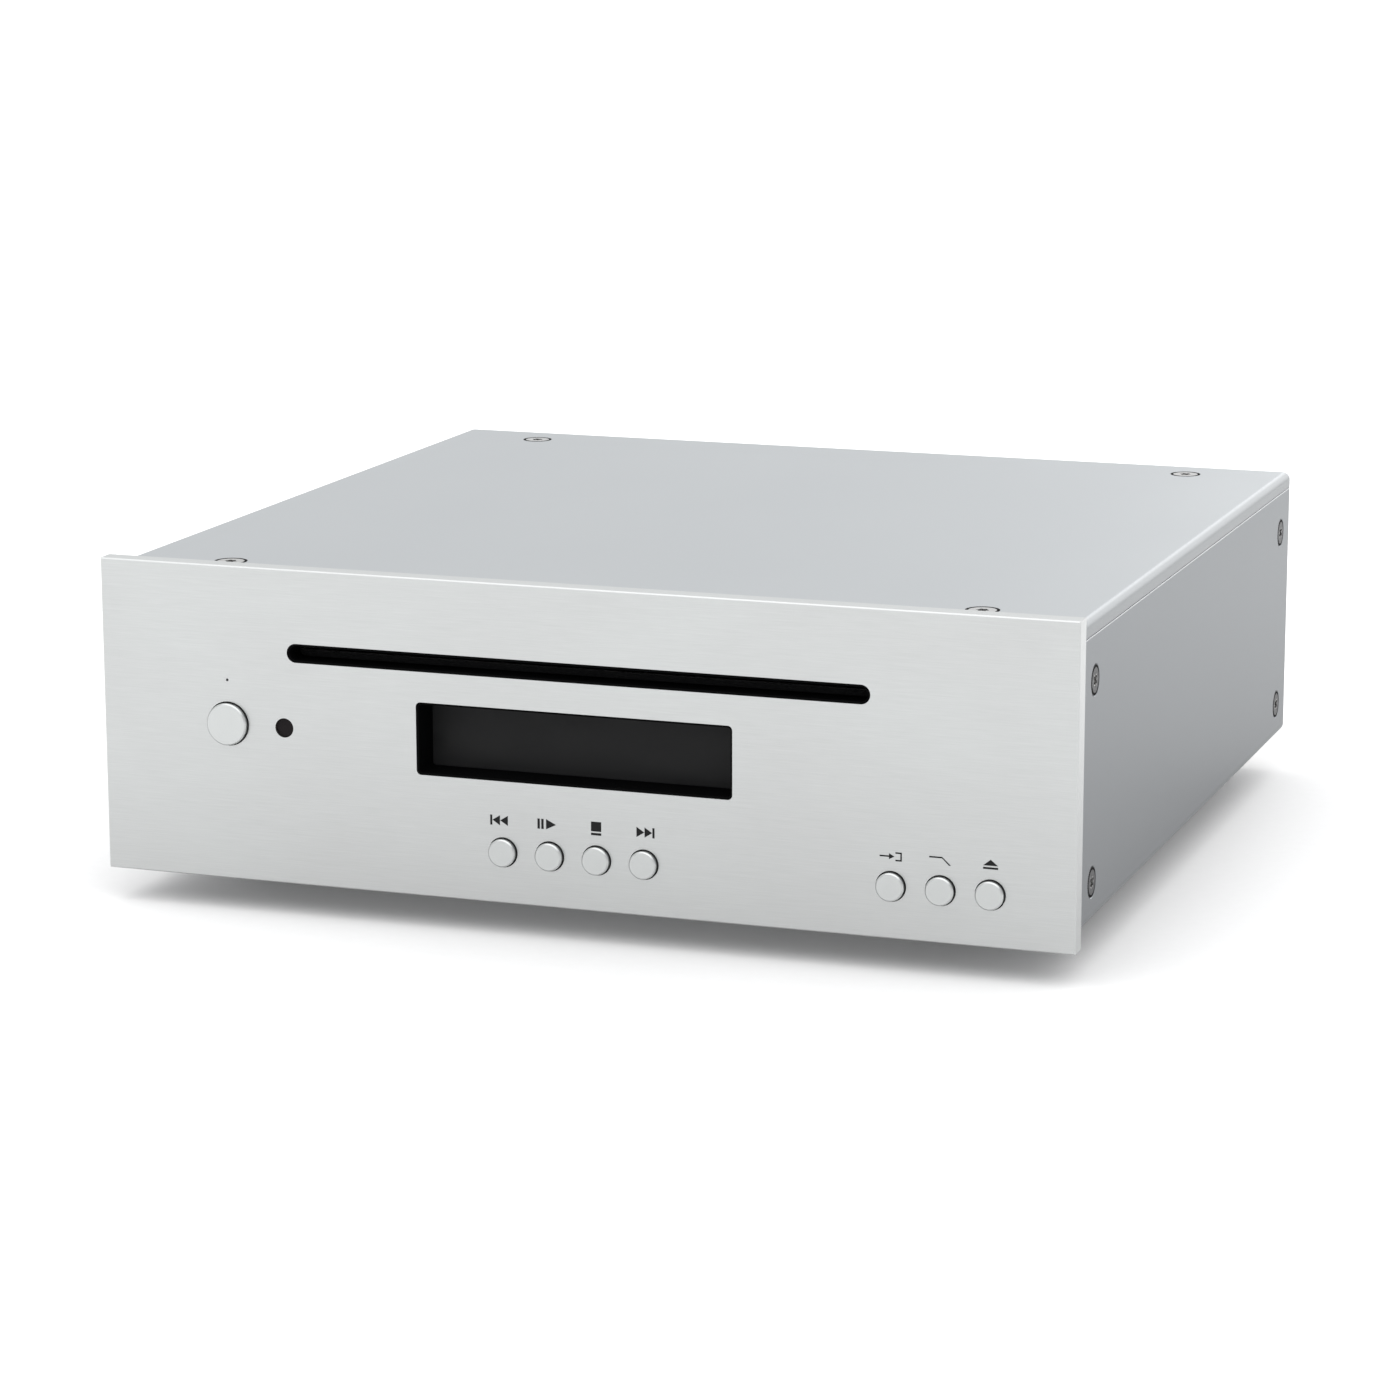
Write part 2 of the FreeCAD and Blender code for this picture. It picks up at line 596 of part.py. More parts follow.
standoff_places = [
    (side * (main_board_half - MAIN_BOARD_INSET), y)
    for side in (-1, 1)
    for y in (
        main_board_front + MAIN_BOARD_INSET,
        (main_board_front + main_board_rear) / 2,
        main_board_rear - SOCKET_DEPTH - STANDOFF_SPACE,
    )
]


# ---------------------------------------------------------------- case
def panel_hole(x, z, radius, y0, y1):
    return bar(x, y0, z, radius, y1 - y0, Y_AXIS)


def fascia():
    body = box(-FASCIA_WIDTH / 2, FASCIA_WIDTH / 2, front_y, fascia_back, fascia_bottom, fascia_top)
    front_edges = [e for e in body.Edges if e.BoundBox.YMax < front_y + 0.01]
    body = body.makeChamfer(FASCIA_CHAMFER, front_edges)
    before = front_y - 1
    after = fascia_back + 1
    cuts = [stadium(0, slot_z, SLOT_WIDTH, SLOT_HEIGHT, before, after)]
    cuts.append(rounded_block(0, window_z, WINDOW_WIDTH, WINDOW_HEIGHT, WINDOW_RADIUS, before, after))
    for name, x, z, hole in keys:
        cuts.append(panel_hole(x, z, hole, before, after))
    cuts.append(panel_hole(power_x, led_z, LED_HOLE, before, after))
    cuts.append(panel_hole(infrared_x, window_z, INFRARED_HOLE, before, after))
    for x, z in fascia_screw_places:
        cuts.append(panel_hole(x, z, PAN_SHANK + FIT, fascia_back - FASCIA_SCREW_DEPTH - FIT, after))
    return body.cut(fuse_all(cuts))


def fuse_all(shapes):
    return shapes[0].multiFuse(shapes[1:])


def front_frame():
    y0 = fascia_back
    y1 = fascia_back + FRAME_SHEET
    half = inner_half - FRAME_GAP
    low = floor_level + FRAME_GAP
    high = cover_underside - FRAME_GAP
    plate = box(-half, half, y0, y1, low, high)
    cuts = [rounded_block(0, slot_z, slot_flange_width + 2 * FRAME_GAP, slot_flange_height + 2 * FRAME_GAP,
                          WINDOW_RADIUS, y0 - 1, y1 + 1)]
    cuts.append(rounded_block(0, window_z, bezel_flange_width + 2 * FRAME_GAP,
                              bezel_flange_height + 2 * FRAME_GAP, WINDOW_RADIUS, y0 - 1, y1 + 1))
    for name, x, z, hole in keys:
        cuts.append(panel_hole(x, z, hole - KEY_GAP + KEY_FLANGE + 0.4, y0 - 1, y1 + 1))
    cuts.append(panel_hole(power_x, led_z, PIPE_RADIUS + FIT, y0 - 1, y1 + 1))
    cuts.append(panel_hole(infrared_x, window_z, INFRARED_HOLE + 0.6, y0 - 1, y1 + 1))
    for x, z in fascia_screw_places:
        cuts.append(panel_hole(x, z, PAN_SHANK + FIT, y0 - 1, y1 + 1))
    for x, z in guide_screw_places:
        cuts.append(panel_hole(x, z, PAN_SHANK, y0 - 1, y1 + 1))
    plate = plate.cut(fuse_all(cuts))
    return folded(plate, y1, 1, half, high, fascia_back + COVER_SCREW_FRONT, fascia_back + SIDE_SCREW_FRONT)


def folded(plate, face_y, direction, half, high, top_screw_y, side_screw_y):
    """Adds the tabs that take the case screws, running from face_y along direction."""
    reach = face_y + direction * TAB_REACH
    y0 = min(face_y, reach)
    y1 = max(face_y, reach)
    tabs = []
    cuts = []
    for side in (-1, 1):
        x = side * COVER_SCREW_X
        tabs.append(box(x - TAB_WIDTH / 2, x + TAB_WIDTH / 2, y0, y1, high - FRAME_SHEET, high))
        cuts.append(bar(x, top_screw_y, high - 3, CASE_SCREW_SHANK + FIT, 6, Z_AXIS))
        for rise in (SIDE_SCREW_LOW, SIDE_SCREW_HIGH):
            z = case_bottom + rise
            x0 = min(side * half, side * (half - FRAME_SHEET))
            tab_low = max(z - TAB_WIDTH / 2, floor_level + FRAME_GAP)
            tabs.append(box(x0, x0 + FRAME_SHEET, y0, y1, tab_low, z + TAB_WIDTH / 2))
            cuts.append(bar(x0 - 2, side_screw_y, z, CASE_SCREW_SHANK + FIT, 6, X_AXIS))
    return fuse([plate] + tabs).cut(fuse_all(cuts))


def tray():
    outer = box(-case_half, case_half, fascia_back, rear_end, case_bottom, tray_top)
    low_edges = [e for e in edges_along(outer, Y_AXIS) if e.BoundBox.ZMax < case_bottom + 0.01]
    outer = outer.makeFillet(TRAY_BEND, low_edges)
    inner = box(-inner_half, inner_half, fascia_back - 1, rear_end + 1, floor_level, tray_top + 1)
    low_edges = [e for e in edges_along(inner, Y_AXIS) if e.BoundBox.ZMax < floor_level + 0.01]
    inner = inner.makeFillet(TRAY_BEND - SHEET, low_edges)
    cuts = [inner]
    for side, y, z in side_screw_places:
        axis = Vector(side, 0, 0)
        cuts.append(placed(countersunk_cut(SHEET + 1), side * case_half, y, z, axis))
    for x, y in foot_places:
        cuts.append(bar(x, y, case_bottom - 1, PAN_SHANK, SHEET + 2, Z_AXIS))
    middle = (fascia_back + rear_end) / 2
    for i in range(VENT_COUNT):
        x = (i - (VENT_COUNT - 1) / 2) * VENT_PITCH
        for y in (middle - VENT_LENGTH * 0.7, middle + VENT_LENGTH * 0.7):
            cuts.append(vent(x, y))
    return outer.cut(fuse_all(cuts))


def vent(x, y):
    straight = VENT_LENGTH / 2 - VENT_WIDTH / 2
    z = case_bottom - 1
    depth = SHEET + 2
    middle = box(x - VENT_WIDTH / 2, x + VENT_WIDTH / 2, y - straight, y + straight, z, z + depth)
    ends = [bar(x, y + side * straight, z, VENT_WIDTH / 2, depth, Z_AXIS) for side in (-1, 1)]
    return fuse([middle] + ends)


def cover():
    low = case_top - COVER_LIP
    outer = box(-case_half, case_half, fascia_back, rear_end, low, case_top)
    high_edges = [e for e in edges_along(outer, Y_AXIS) if e.BoundBox.ZMin > case_top - 0.01]
    outer = outer.makeFillet(COVER_EDGE, high_edges)
    cuts = [box(-inner_half, inner_half, fascia_back - 1, rear_end + 1, low - 1, cover_underside)]
    for x, y in cover_screw_places:
        cuts.append(placed(countersunk_cut(COVER_SHEET + 1), x, y, case_top, Z_AXIS))
    return outer.cut(fuse_all(cuts))


def rear_panel():
    half = inner_half - FRAME_GAP
    low = floor_level + FRAME_GAP
    high = cover_underside - FRAME_GAP
    plate = box(-half, half, rear_inside, rear_face, low, high)
    cuts = []
    for x in line_out_x + coax_x:
        cuts.append(panel_hole(x, socket_z, PHONO_BARREL + FRAME_GAP, rear_inside - 1, rear_face + 1))
    for x in optical_x:
        opening = OPTICAL_SNOUT + 2 * FRAME_GAP
        cuts.append(rounded_block(x, socket_z, opening, opening, 0.5, rear_inside - 1, rear_face + 1))
    cuts.append(panel_hole(inlet_x, socket_z, INLET_SNOUT + FRAME_GAP, rear_inside - 1, rear_face + 1))
    plate = plate.cut(fuse_all(cuts))
    lid_screw_y = rear_end - COVER_SCREW_REAR
    side_screw_y = rear_end - SIDE_SCREW_REAR
    return folded(plate, rear_inside, -1, half, high, lid_screw_y, side_screw_y)


def cover_screws():
    return [placed(case_screw(), x, y, case_top, Z_AXIS) for x, y in cover_screw_places]


def side_screws():
    return [
        placed(case_screw(), side * case_half, y, z, Vector(side, 0, 0))
        for side, y, z in side_screw_places
    ]


def foot(x, y):
    body = bar(x, y, 0, FOOT_RADIUS, FOOT_HEIGHT, Z_AXIS)
    rim = [e for e in body.Edges if e.BoundBox.ZMax < 0.01 and e.BoundBox.XLength > FOOT_RADIUS]
    body = body.makeFillet(1.2, rim)
    well = bar(x, y, -1, FOOT_WELL, FOOT_HEIGHT - FOOT_WELL_FLOOR + 1, Z_AXIS)
    hole = bar(x, y, 0, PAN_SHANK + FIT, FOOT_HEIGHT + 1, Z_AXIS)
    return body.cut(well.fuse(hole))


def foot_screws():
    screws = []
    for x, y in foot_places:
        screw = pan_screw(FOOT_WELL_FLOOR + SHEET + 1.5)
        screw = placed(screw, x, y, FOOT_HEIGHT - FOOT_WELL_FLOOR, -Z_AXIS)
        screws.append(screw)
    return screws


def fascia_screws():
    screws = []
    for x, z in fascia_screw_places:
        screw = placed(pan_screw(FASCIA_SCREW_DEPTH + FRAME_SHEET), x, fascia_back + FRAME_SHEET, z, Y_AXIS)
        screws.append(screw)
    return screws


# ---------------------------------------------------------------- fascia furniture
def slot_bezel():
    width = SLOT_WIDTH - 2 * FIT
    height = SLOT_HEIGHT - 2 * FIT
    y0 = front_y + BEZEL_SET_IN
    y1 = fascia_back + FRAME_SHEET
    outer = stadium(0, slot_z, width, height, y0, y1)
    flange = rounded_block(0, slot_z, slot_flange_width, slot_flange_height, WINDOW_RADIUS, fascia_back, y1)
    inner = stadium(0, slot_z, width - 2 * BEZEL_WALL, height - 2 * BEZEL_WALL, y0 - 1, y1 + 1)
    return fuse([outer, flange]).cut(inner)


def dust_lips():
    y0 = fascia_back + FRAME_SHEET
    y1 = y0 + LIP_THICKNESS
    half = SLOT_WIDTH / 2 + 1
    upper = box(-half, half, y0, y1, slot_z + LIP_GAP / 2, slot_z + LIP_HEIGHT)
    lower = box(-half, half, y0, y1, slot_z - LIP_HEIGHT, slot_z - LIP_GAP / 2)
    return group([upper, lower])


def display_bezel():
    width = WINDOW_WIDTH - 2 * FIT
    height = WINDOW_HEIGHT - 2 * FIT
    outer = rounded_block(0, window_z, width, height, WINDOW_RADIUS, front_y + BEZEL_SET_IN, glass_y)
    flange = rounded_block(0, window_z, bezel_flange_width, bezel_flange_height, WINDOW_RADIUS,
                           fascia_back, glass_y)
    inner = rounded_block(0, window_z, width - 2 * BEZEL_WALL, height - 2 * BEZEL_WALL,
                          WINDOW_RADIUS - BEZEL_WALL, front_y - 1, glass_y + 1)
    return fuse([outer, flange]).cut(inner)


def display_window():
    return rounded_block(0, window_z, bezel_flange_width, bezel_flange_height, WINDOW_RADIUS,
                         glass_y, glass_y + GLASS)


def display_module():
    width = bezel_flange_width - 2
    height = bezel_flange_height - 1
    body = rounded_block(0, window_z, width, height, 0.5, glass_y + GLASS, board_y)
    return body


def infrared_window():
    y0 = front_y + BEZEL_SET_IN * 2
    lens = bar(infrared_x, y0, window_z, INFRARED_HOLE - FIT, fascia_back - y0, Y_AXIS)
    collar = bar(infrared_x, fascia_back, window_z, INFRARED_HOLE + 0.5, FRAME_SHEET, Y_AXIS)
    return lens.fuse(collar).removeSplitter()


def infrared_receiver():
    half, height = RECEIVER_WIDTH / 2, RECEIVER_HEIGHT / 2
    face = board_y - RECEIVER_DEPTH
    body = box(infrared_x - half, infrared_x + half, face, board_y, window_z - height, window_z + height)
    dome = bar(infrared_x, face - RECEIVER_DOME, window_z, RECEIVER_LENS, RECEIVER_DOME, Y_AXIS)
    return body.fuse(dome).removeSplitter()


def light_pipe():
    """A clear rod that brings the standby lamp's light to its small hole."""
    tip = bar(power_x, front_y + FASCIA_CHAMFER, led_z, LED_HOLE - 0.02, FASCIA_THICKNESS, Y_AXIS)
    start = fascia_back + FIT
    head = bar(power_x, start, led_z, PIPE_RADIUS, board_y - LAMP_HEIGHT - start, Y_AXIS)
    return fuse([tip, head])


def standby_lamp():
    body = bar(power_x, board_y - LAMP_HEIGHT, led_z, PIPE_RADIUS, LAMP_HEIGHT, Y_AXIS)
    return body


def button(x, z, hole):
    radius = hole - KEY_GAP
    face = front_y - KEY_PROUD
    cap = bar(x, face, z, radius, fascia_back - face, Y_AXIS)
    rim = [e for e in cap.Edges if e.BoundBox.YMax < face + 0.01 and e.BoundBox.XLength > radius]
    cap = cap.makeChamfer(KEY_CHAMFER, rim)
    flange = bar(x, fascia_back, z, radius + KEY_FLANGE, KEY_FLANGE_THICKNESS, Y_AXIS)
    shoulder = board_y - SWITCH_HEIGHT - KEY_TRAVEL - 0.2
    stem = bar(x, fascia_back, z, KEY_STEM, shoulder - fascia_back, Y_AXIS)
    tip_length = SWITCH_WELL_DEPTH - 0.2
    tip = bar(x, shoulder, z, KEY_TIP, tip_length, Y_AXIS)
    return fuse([cap, flange, stem, tip])


def key_switches():
    switches = []
    for name, x, z, hole in keys:
        half = SWITCH_SIZE / 2
        face = board_y - SWITCH_HEIGHT
        body = box(x - half, x + half, face, board_y, z - half, z + half)
        switches.append(body.cut(bar(x, face - 1, z, SWITCH_WELL, SWITCH_WELL_DEPTH + 1, Y_AXIS)))
    return switches


def key_guide():
    """The plate that keeps the seven small keys' stems straight."""
    y0 = fascia_back + GUIDE_OFFSET
    y1 = y0 + GUIDE_THICKNESS
    left = TRANSPORT_START - 9.5
    right = function_start + 2 * KEY_PITCH + 9.2
    plate = box(left, right, y0, y1, key_z - 6.2, key_z + 6.2)
    bosses = [bar(x, fascia_back + FRAME_SHEET, z, 2.4, GUIDE_OFFSET - FRAME_SHEET, Y_AXIS)
              for x, z in guide_screw_places[2:]]
    cuts = [bar(x, y0 - 2, z, KEY_STEM + RUNNING, 5, Y_AXIS) for name, x, z, hole in keys[1:]]
    cuts += [bar(x, fascia_back, z, PAN_SHANK + FIT, 5, Y_AXIS) for x, z in guide_screw_places[2:]]
    return fuse([plate] + bosses).cut(fuse_all(cuts))


def power_guide():
    """The plate that keeps the power key's stem and the light pipe straight."""
    y0 = fascia_back + GUIDE_OFFSET
    y1 = y0 + GUIDE_THICKNESS
    plate = box(power_x - 8.5, infrared_x + 6, y0, y1, window_z - 8.5, led_z + PIPE_RADIUS + 0.7)
    bosses = [bar(x, fascia_back + FRAME_SHEET, z, 2.4, GUIDE_OFFSET - FRAME_SHEET, Y_AXIS)
              for x, z in guide_screw_places[:2]]
    cuts = [bar(power_x, y0 - 1, window_z, KEY_STEM + RUNNING, 4, Y_AXIS)]
    cuts.append(bar(power_x, y0 - 1, led_z, PIPE_RADIUS, 4, Y_AXIS))
    cuts.append(bar(infrared_x, y0 - 1, window_z, 3.0, 4, Y_AXIS))
    cuts += [bar(x, fascia_back, z, PAN_SHANK + FIT, 5, Y_AXIS) for x, z in guide_screw_places[:2]]
    return fuse([plate] + bosses).cut(fuse_all(cuts))


def guide_screws():
    y = fascia_back + GUIDE_OFFSET + GUIDE_THICKNESS
    length = GUIDE_OFFSET + GUIDE_THICKNESS
    return [placed(pan_screw(length), x, y, z, Y_AXIS) for x, z in guide_screw_places]


def front_board():
    low = floor_level + FRONT_BOARD_LOW
    high = floor_level + FRONT_BOARD_HIGH
    plate = box(-front_board_half, front_board_half, board_y, board_y + BOARD, low, high)
    cuts = [bar(x, board_y - 1, z, PAN_SHANK, BOARD + 2, Y_AXIS) for x, z in spacer_places]
    return plate.cut(fuse_all(cuts))


def board_spacers():
    """Four round spacers pressed into the front frame."""
    y0 = fascia_back + FRAME_SHEET
    spacers = []
    for x, z in spacer_places:
        post = bar(x, y0, z, SPACER_RADIUS, board_y - y0, Y_AXIS)
        spacers.append(post.cut(bar(x, board_y - 5, z, PAN_SHANK, 6, Y_AXIS)))
    return spacers


def board_screws():
    """The pan-head screws of both circuit boards."""
    screws = [placed(pan_screw(BOARD_SCREW), x, board_y + BOARD, z, Y_AXIS) for x, z in spacer_places]
    for x, y in standoff_places:
        screws.append(placed(pan_screw(BOARD_SCREW), x, y, main_board_top, Z_AXIS))
    return screws


# ---------------------------------------------------------------- main board
def main_board():
    half = main_board_half
    plate = box(-half, half, main_board_front, main_board_rear, main_board_z, main_board_top)
    cuts = [bar(x, y, main_board_z - 1, PAN_SHANK, BOARD + 2, Z_AXIS) for x, y in standoff_places]
    return plate.cut(fuse_all(cuts))


def standoffs():
    posts = []
    for x, y in standoff_places:
        post = hexagon(x, y, floor_level, STANDOFF_RADIUS * 2, STANDOFF_HEIGHT, Z_AXIS)
        posts.append(post.cut(bar(x, y, floor_level + STANDOFF_FLOOR, PAN_SHANK, STANDOFF_HEIGHT, Z_AXIS)))
    return posts


def on_board(across, back):
    """A place on the main board, as shares of its half width and of its length."""
    length = main_board_rear - main_board_front
    return across * main_board_half, main_board_front + back * length


def chip(across, back, width, depth):
    """A flat package whose width and depth are shares of the largest one's side."""
    x, y = on_board(across, back)
    half_width, half_depth = width * CHIP_SIDE / 2, depth * CHIP_SIDE / 2
    low = main_board_top
    return box(x - half_width, x + half_width, y - half_depth, y + half_depth, low, low + CHIP_HEIGHT)


def processors():
    """The flat packages on the main board: servo, microcontroller, converter, receiver."""
    return group([
        chip(-0.25, 0.26, 1.0, 1.0),
        chip(0.25, 0.234, 0.86, 0.86),
        chip(0.6, 0.546, 0.72, 0.5),
        chip(0.375, 0.676, 0.58, 0.43),
        chip(0.725, 0.39, 0.58, 0.36),
        chip(-0.65, 0.195, 0.64, 0.43),
    ])


def reservoirs():
    """The upright reservoir capacitors between the loader and the rear sockets."""
    y = sockets_start - RESERVOIR_GAP - RESERVOIR_RADIUS
    first = -0.65 * main_board_half
    cans = []
    for i in range(4):
        x = first + i * (2 * RESERVOIR_RADIUS + RESERVOIR_SPACE)
        cans.append(bar(x, y, main_board_top, RESERVOIR_RADIUS, RESERVOIR_HEIGHT, Z_AXIS))
    return cans


def coupling_capacitors():
    places = [(0.55, 0.676), (0.65, 0.676), (0.75, 0.676), (0.85, 0.676)]
    places += [(-0.75, 0.39), (-0.75, 0.455), (-0.625, 0.403), (0.825, 0.494), (0.825, 0.429)]
    cans = []
    for across, back in places:
        x, y = on_board(across, back)
        cans.append(bar(x, y, main_board_top, COUPLING_RADIUS, COUPLING_HEIGHT, Z_AXIS))
    return cans


def heatsink():
    x0 = HEATSINK_START
    y0 = sockets_start - HEATSINK_GAP - HEATSINK_DEPTH
    y1 = y0 + HEATSINK_SHEET
    z0 = main_board_top
    fin = HEATSINK_WIDTH / (2 * HEATSINK_FINS - 1)
    back = box(x0, x0 + HEATSINK_WIDTH, y0, y1, z0, z0 + HEATSINK_HEIGHT)
    fins = []
    for i in range(HEATSINK_FINS):
        left = x0 + 2 * i * fin
        fins.append(box(left, left + fin, y1, y0 + HEATSINK_DEPTH, z0, z0 + HEATSINK_HEIGHT))
    return fuse([back] + fins)


def cable_headers():
    z = floor_level + HEADER_LEVEL
    front = box(-CABLE_WIDTH / 2 - 1, CABLE_WIDTH / 2 + 1, board_y + BOARD, board_y + BOARD + 4, z, z + 4)
    y = main_board_front + 2
    back = box(-CABLE_WIDTH / 2 - 1, CABLE_WIDTH / 2 + 1, y, y + 4, main_board_top, main_board_top + 4)
    return [front, back]


def ribbon_cable():
    y0 = board_y + BOARD + 4
    z0 = floor_level + HEADER_LEVEL + 2
    y1 = main_board_front + 4
    z1 = main_board_top + 4
    path = [(y0, z0), (y0 + 3, z0), (y1, z1 + 3), (y1, z1)]
    upper = [Vector(-CABLE_WIDTH / 2, y, z + CABLE / 2) for y, z in path[:2]]
    upper += [Vector(-CABLE_WIDTH / 2, path[2][0] + CABLE / 2, path[2][1] + CABLE / 2)]
    upper += [Vector(-CABLE_WIDTH / 2, path[3][0] + CABLE / 2, path[3][1])]
    lower = [Vector(-CABLE_WIDTH / 2, path[3][0] - CABLE / 2, path[3][1])]
    lower += [Vector(-CABLE_WIDTH / 2, path[2][0] - CABLE / 2, path[2][1] - CABLE / 2)]
    lower += [Vector(-CABLE_WIDTH / 2, y, z - CABLE / 2) for y, z in (path[1], path[0])]
    return prism(upper + lower, Vector(CABLE_WIDTH, 0, 0))


# ---------------------------------------------------------------- rear sockets
def phono_shell(x):
    flange = bar(x, rear_face, socket_z, PHONO_FLANGE, PHONO_FLANGE_THICKNESS, Y_AXIS)
    start = rear_inside - PHONO_TAIL
    barrel = bar(x, start, socket_z, PHONO_BARREL, socket_tip - start, Y_AXIS)
    rim = [e for e in barrel.Edges if e.BoundBox.YMin > socket_tip - 0.01]
    rim = [e for e in rim if e.BoundBox.XLength > PHONO_BARREL]
    barrel = barrel.makeChamfer(0.3, rim)
    bore = bar(x, start - 1, socket_z, PHONO_BARREL - PHONO_WALL, socket_tip - start + 2, Y_AXIS)
    return fuse([flange, barrel]).cut(bore)


def socket_blocks():
    """The plastic bodies of the phono sockets, each with the insulator inside its barrel."""
    start = rear_inside - PHONO_TAIL
    blocks = []
    for x in line_out_x + coax_x:
        block = box(x - SOCKET_HALF, x + SOCKET_HALF, sockets_start, rear_inside,
                    main_board_top, socket_z + SOCKET_HALF)
        hole = bar(x, start, socket_z, PHONO_BARREL, PHONO_TAIL + 1, Y_AXIS)
        length = socket_tip - PHONO_RECESS - start + 1
        core = bar(x, start - 1, socket_z, PHONO_BARREL - PHONO_WALL, length, Y_AXIS)
        contact = bar(x, start + 2, socket_z, CONTACT_RADIUS, socket_tip - start, Y_AXIS)
        blocks.append(fuse([block.cut(hole), core]).cut(contact))
    return group(blocks)


def optical_socket(x):
    body = box(x - OPTICAL_HALF, x + OPTICAL_HALF, sockets_start, rear_inside,
               main_board_top, socket_z + OPTICAL_HALF)
    face = rear_face + OPTICAL_PROUD
    snout = rounded_block(x, socket_z, OPTICAL_SNOUT, OPTICAL_SNOUT, 0.5, rear_inside - 1, face)
    cavity = rounded_block(x, socket_z, OPTICAL_MOUTH, OPTICAL_MOUTH, 0.4, face - OPTICAL_CAVITY, face + 1)
    pivot_hole = bar(x - OPTICAL_MOUTH / 2 - FLAP_TRUNNION - FIT, flap_y, flap_z, FLAP_PIN + FIT,
                     OPTICAL_MOUTH + 2 * FLAP_TRUNNION + 2 * FIT, X_AXIS)
    return fuse([body, snout]).cut(cavity.fuse(pivot_hole))


def optical_flap(x):
    half = OPTICAL_MOUTH / 2 - 0.1
    plate = box(x - half, x + half, flap_y - FLAP_THICKNESS / 2, flap_y + FLAP_THICKNESS / 2,
                socket_z - half, flap_z)
    pin = bar(x - OPTICAL_MOUTH / 2 - FLAP_TRUNNION, flap_y, flap_z, FLAP_PIN,
              OPTICAL_MOUTH + 2 * FLAP_TRUNNION, X_AXIS)
    return fuse([plate, pin])


def power_inlet():
    body = box(inlet_x - 4.5, inlet_x + 4.5, sockets_start, rear_inside,
               main_board_top, socket_z + SOCKET_HALF)
    face = rear_face + INLET_PROUD
    snout = bar(inlet_x, rear_inside - 1, socket_z, INLET_SNOUT, face - rear_inside + 1, Y_AXIS)
    cavity = bar(inlet_x, face - INLET_CAVITY, socket_z, INLET_MOUTH, INLET_CAVITY + 1, Y_AXIS)
    pin = bar(inlet_x, face - INLET_CAVITY - 1, socket_z, INLET_PIN, INLET_CAVITY, Y_AXIS)
    return fuse([fuse([body, snout]).cut(cavity), pin])


# ---------------------------------------------------------------- disc loader
def capsule_x(x0, x1, start, end, radius):
    """A slot through a sheet that lies across X, from one (y, z) point to another."""
    dy = end[0] - start[0]
    dz = end[1] - start[1]
    length = math.hypot(dy, dz)
    nose = bar(x0, start[0], start[1], radius, x1 - x0, X_AXIS)
    tail = bar(x0, end[0], end[1], radius, x1 - x0, X_AXIS)
    ny = -dz / length * radius
    nz = dy / length * radius
    corners = [
        Vector(x0, start[0] + ny, start[1] + nz),
        Vector(x0, end[0] + ny, end[1] + nz),
        Vector(x0, end[0] - ny, end[1] - nz),
        Vector(x0, start[0] - ny, start[1] - nz),
    ]
    return fuse_all([prism(corners, Vector(x1 - x0, 0, 0)), nose, tail])


def swung(y, z, pivot, degrees):
    """Where a point (y, z) goes when it turns about +X around pivot (y, z)."""
    angle = math.radians(degrees)
    dy = y - pivot[0]
    dz = z - pivot[1]
    return (
        pivot[0] + dy * math.cos(angle) - dz * math.sin(angle),
        pivot[1] + dy * math.sin(angle) + dz * math.cos(angle),
    )


bracket_pivot = (pivot_y, pivot_z)
clamp_pivot = (hinge_y, hinge_z)
bracket_pin_up = (pivot_y + BRACKET_PIN_BEHIND, pivot_z)
bracket_pin_down = swung(bracket_pin_up[0], bracket_pin_up[1], bracket_pivot, ROLLER_DROP)
clamp_pin_down = (hinge_y - CLAMP_PIN_AHEAD, hinge_z)
clamp_pin_up = swung(clamp_pin_down[0], clamp_pin_down[1], clamp_pivot, -CLAMP_LIFT)
slide_low = pivot_z - SLIDE_DROP
slide_high = clamp_pin_up[1] + SLIDE_PIN + SLIDE_EDGE
slide_start = loader_front + SLIDE_SETBACK
slide_end = spindle_y + SLIDE_REACH
slide_inside = -LOADER_HALF - SLIDE_GAP
slide_outside = slide_inside - SLIDE_SHEET
slide_pin_z = pivot_z + SLIDE_PIN_RISE
slide_pin_places = ((slide_start + SLIDE_PIN_START, slide_pin_z), (slide_end - SLIDE_PIN_END, slide_pin_z))


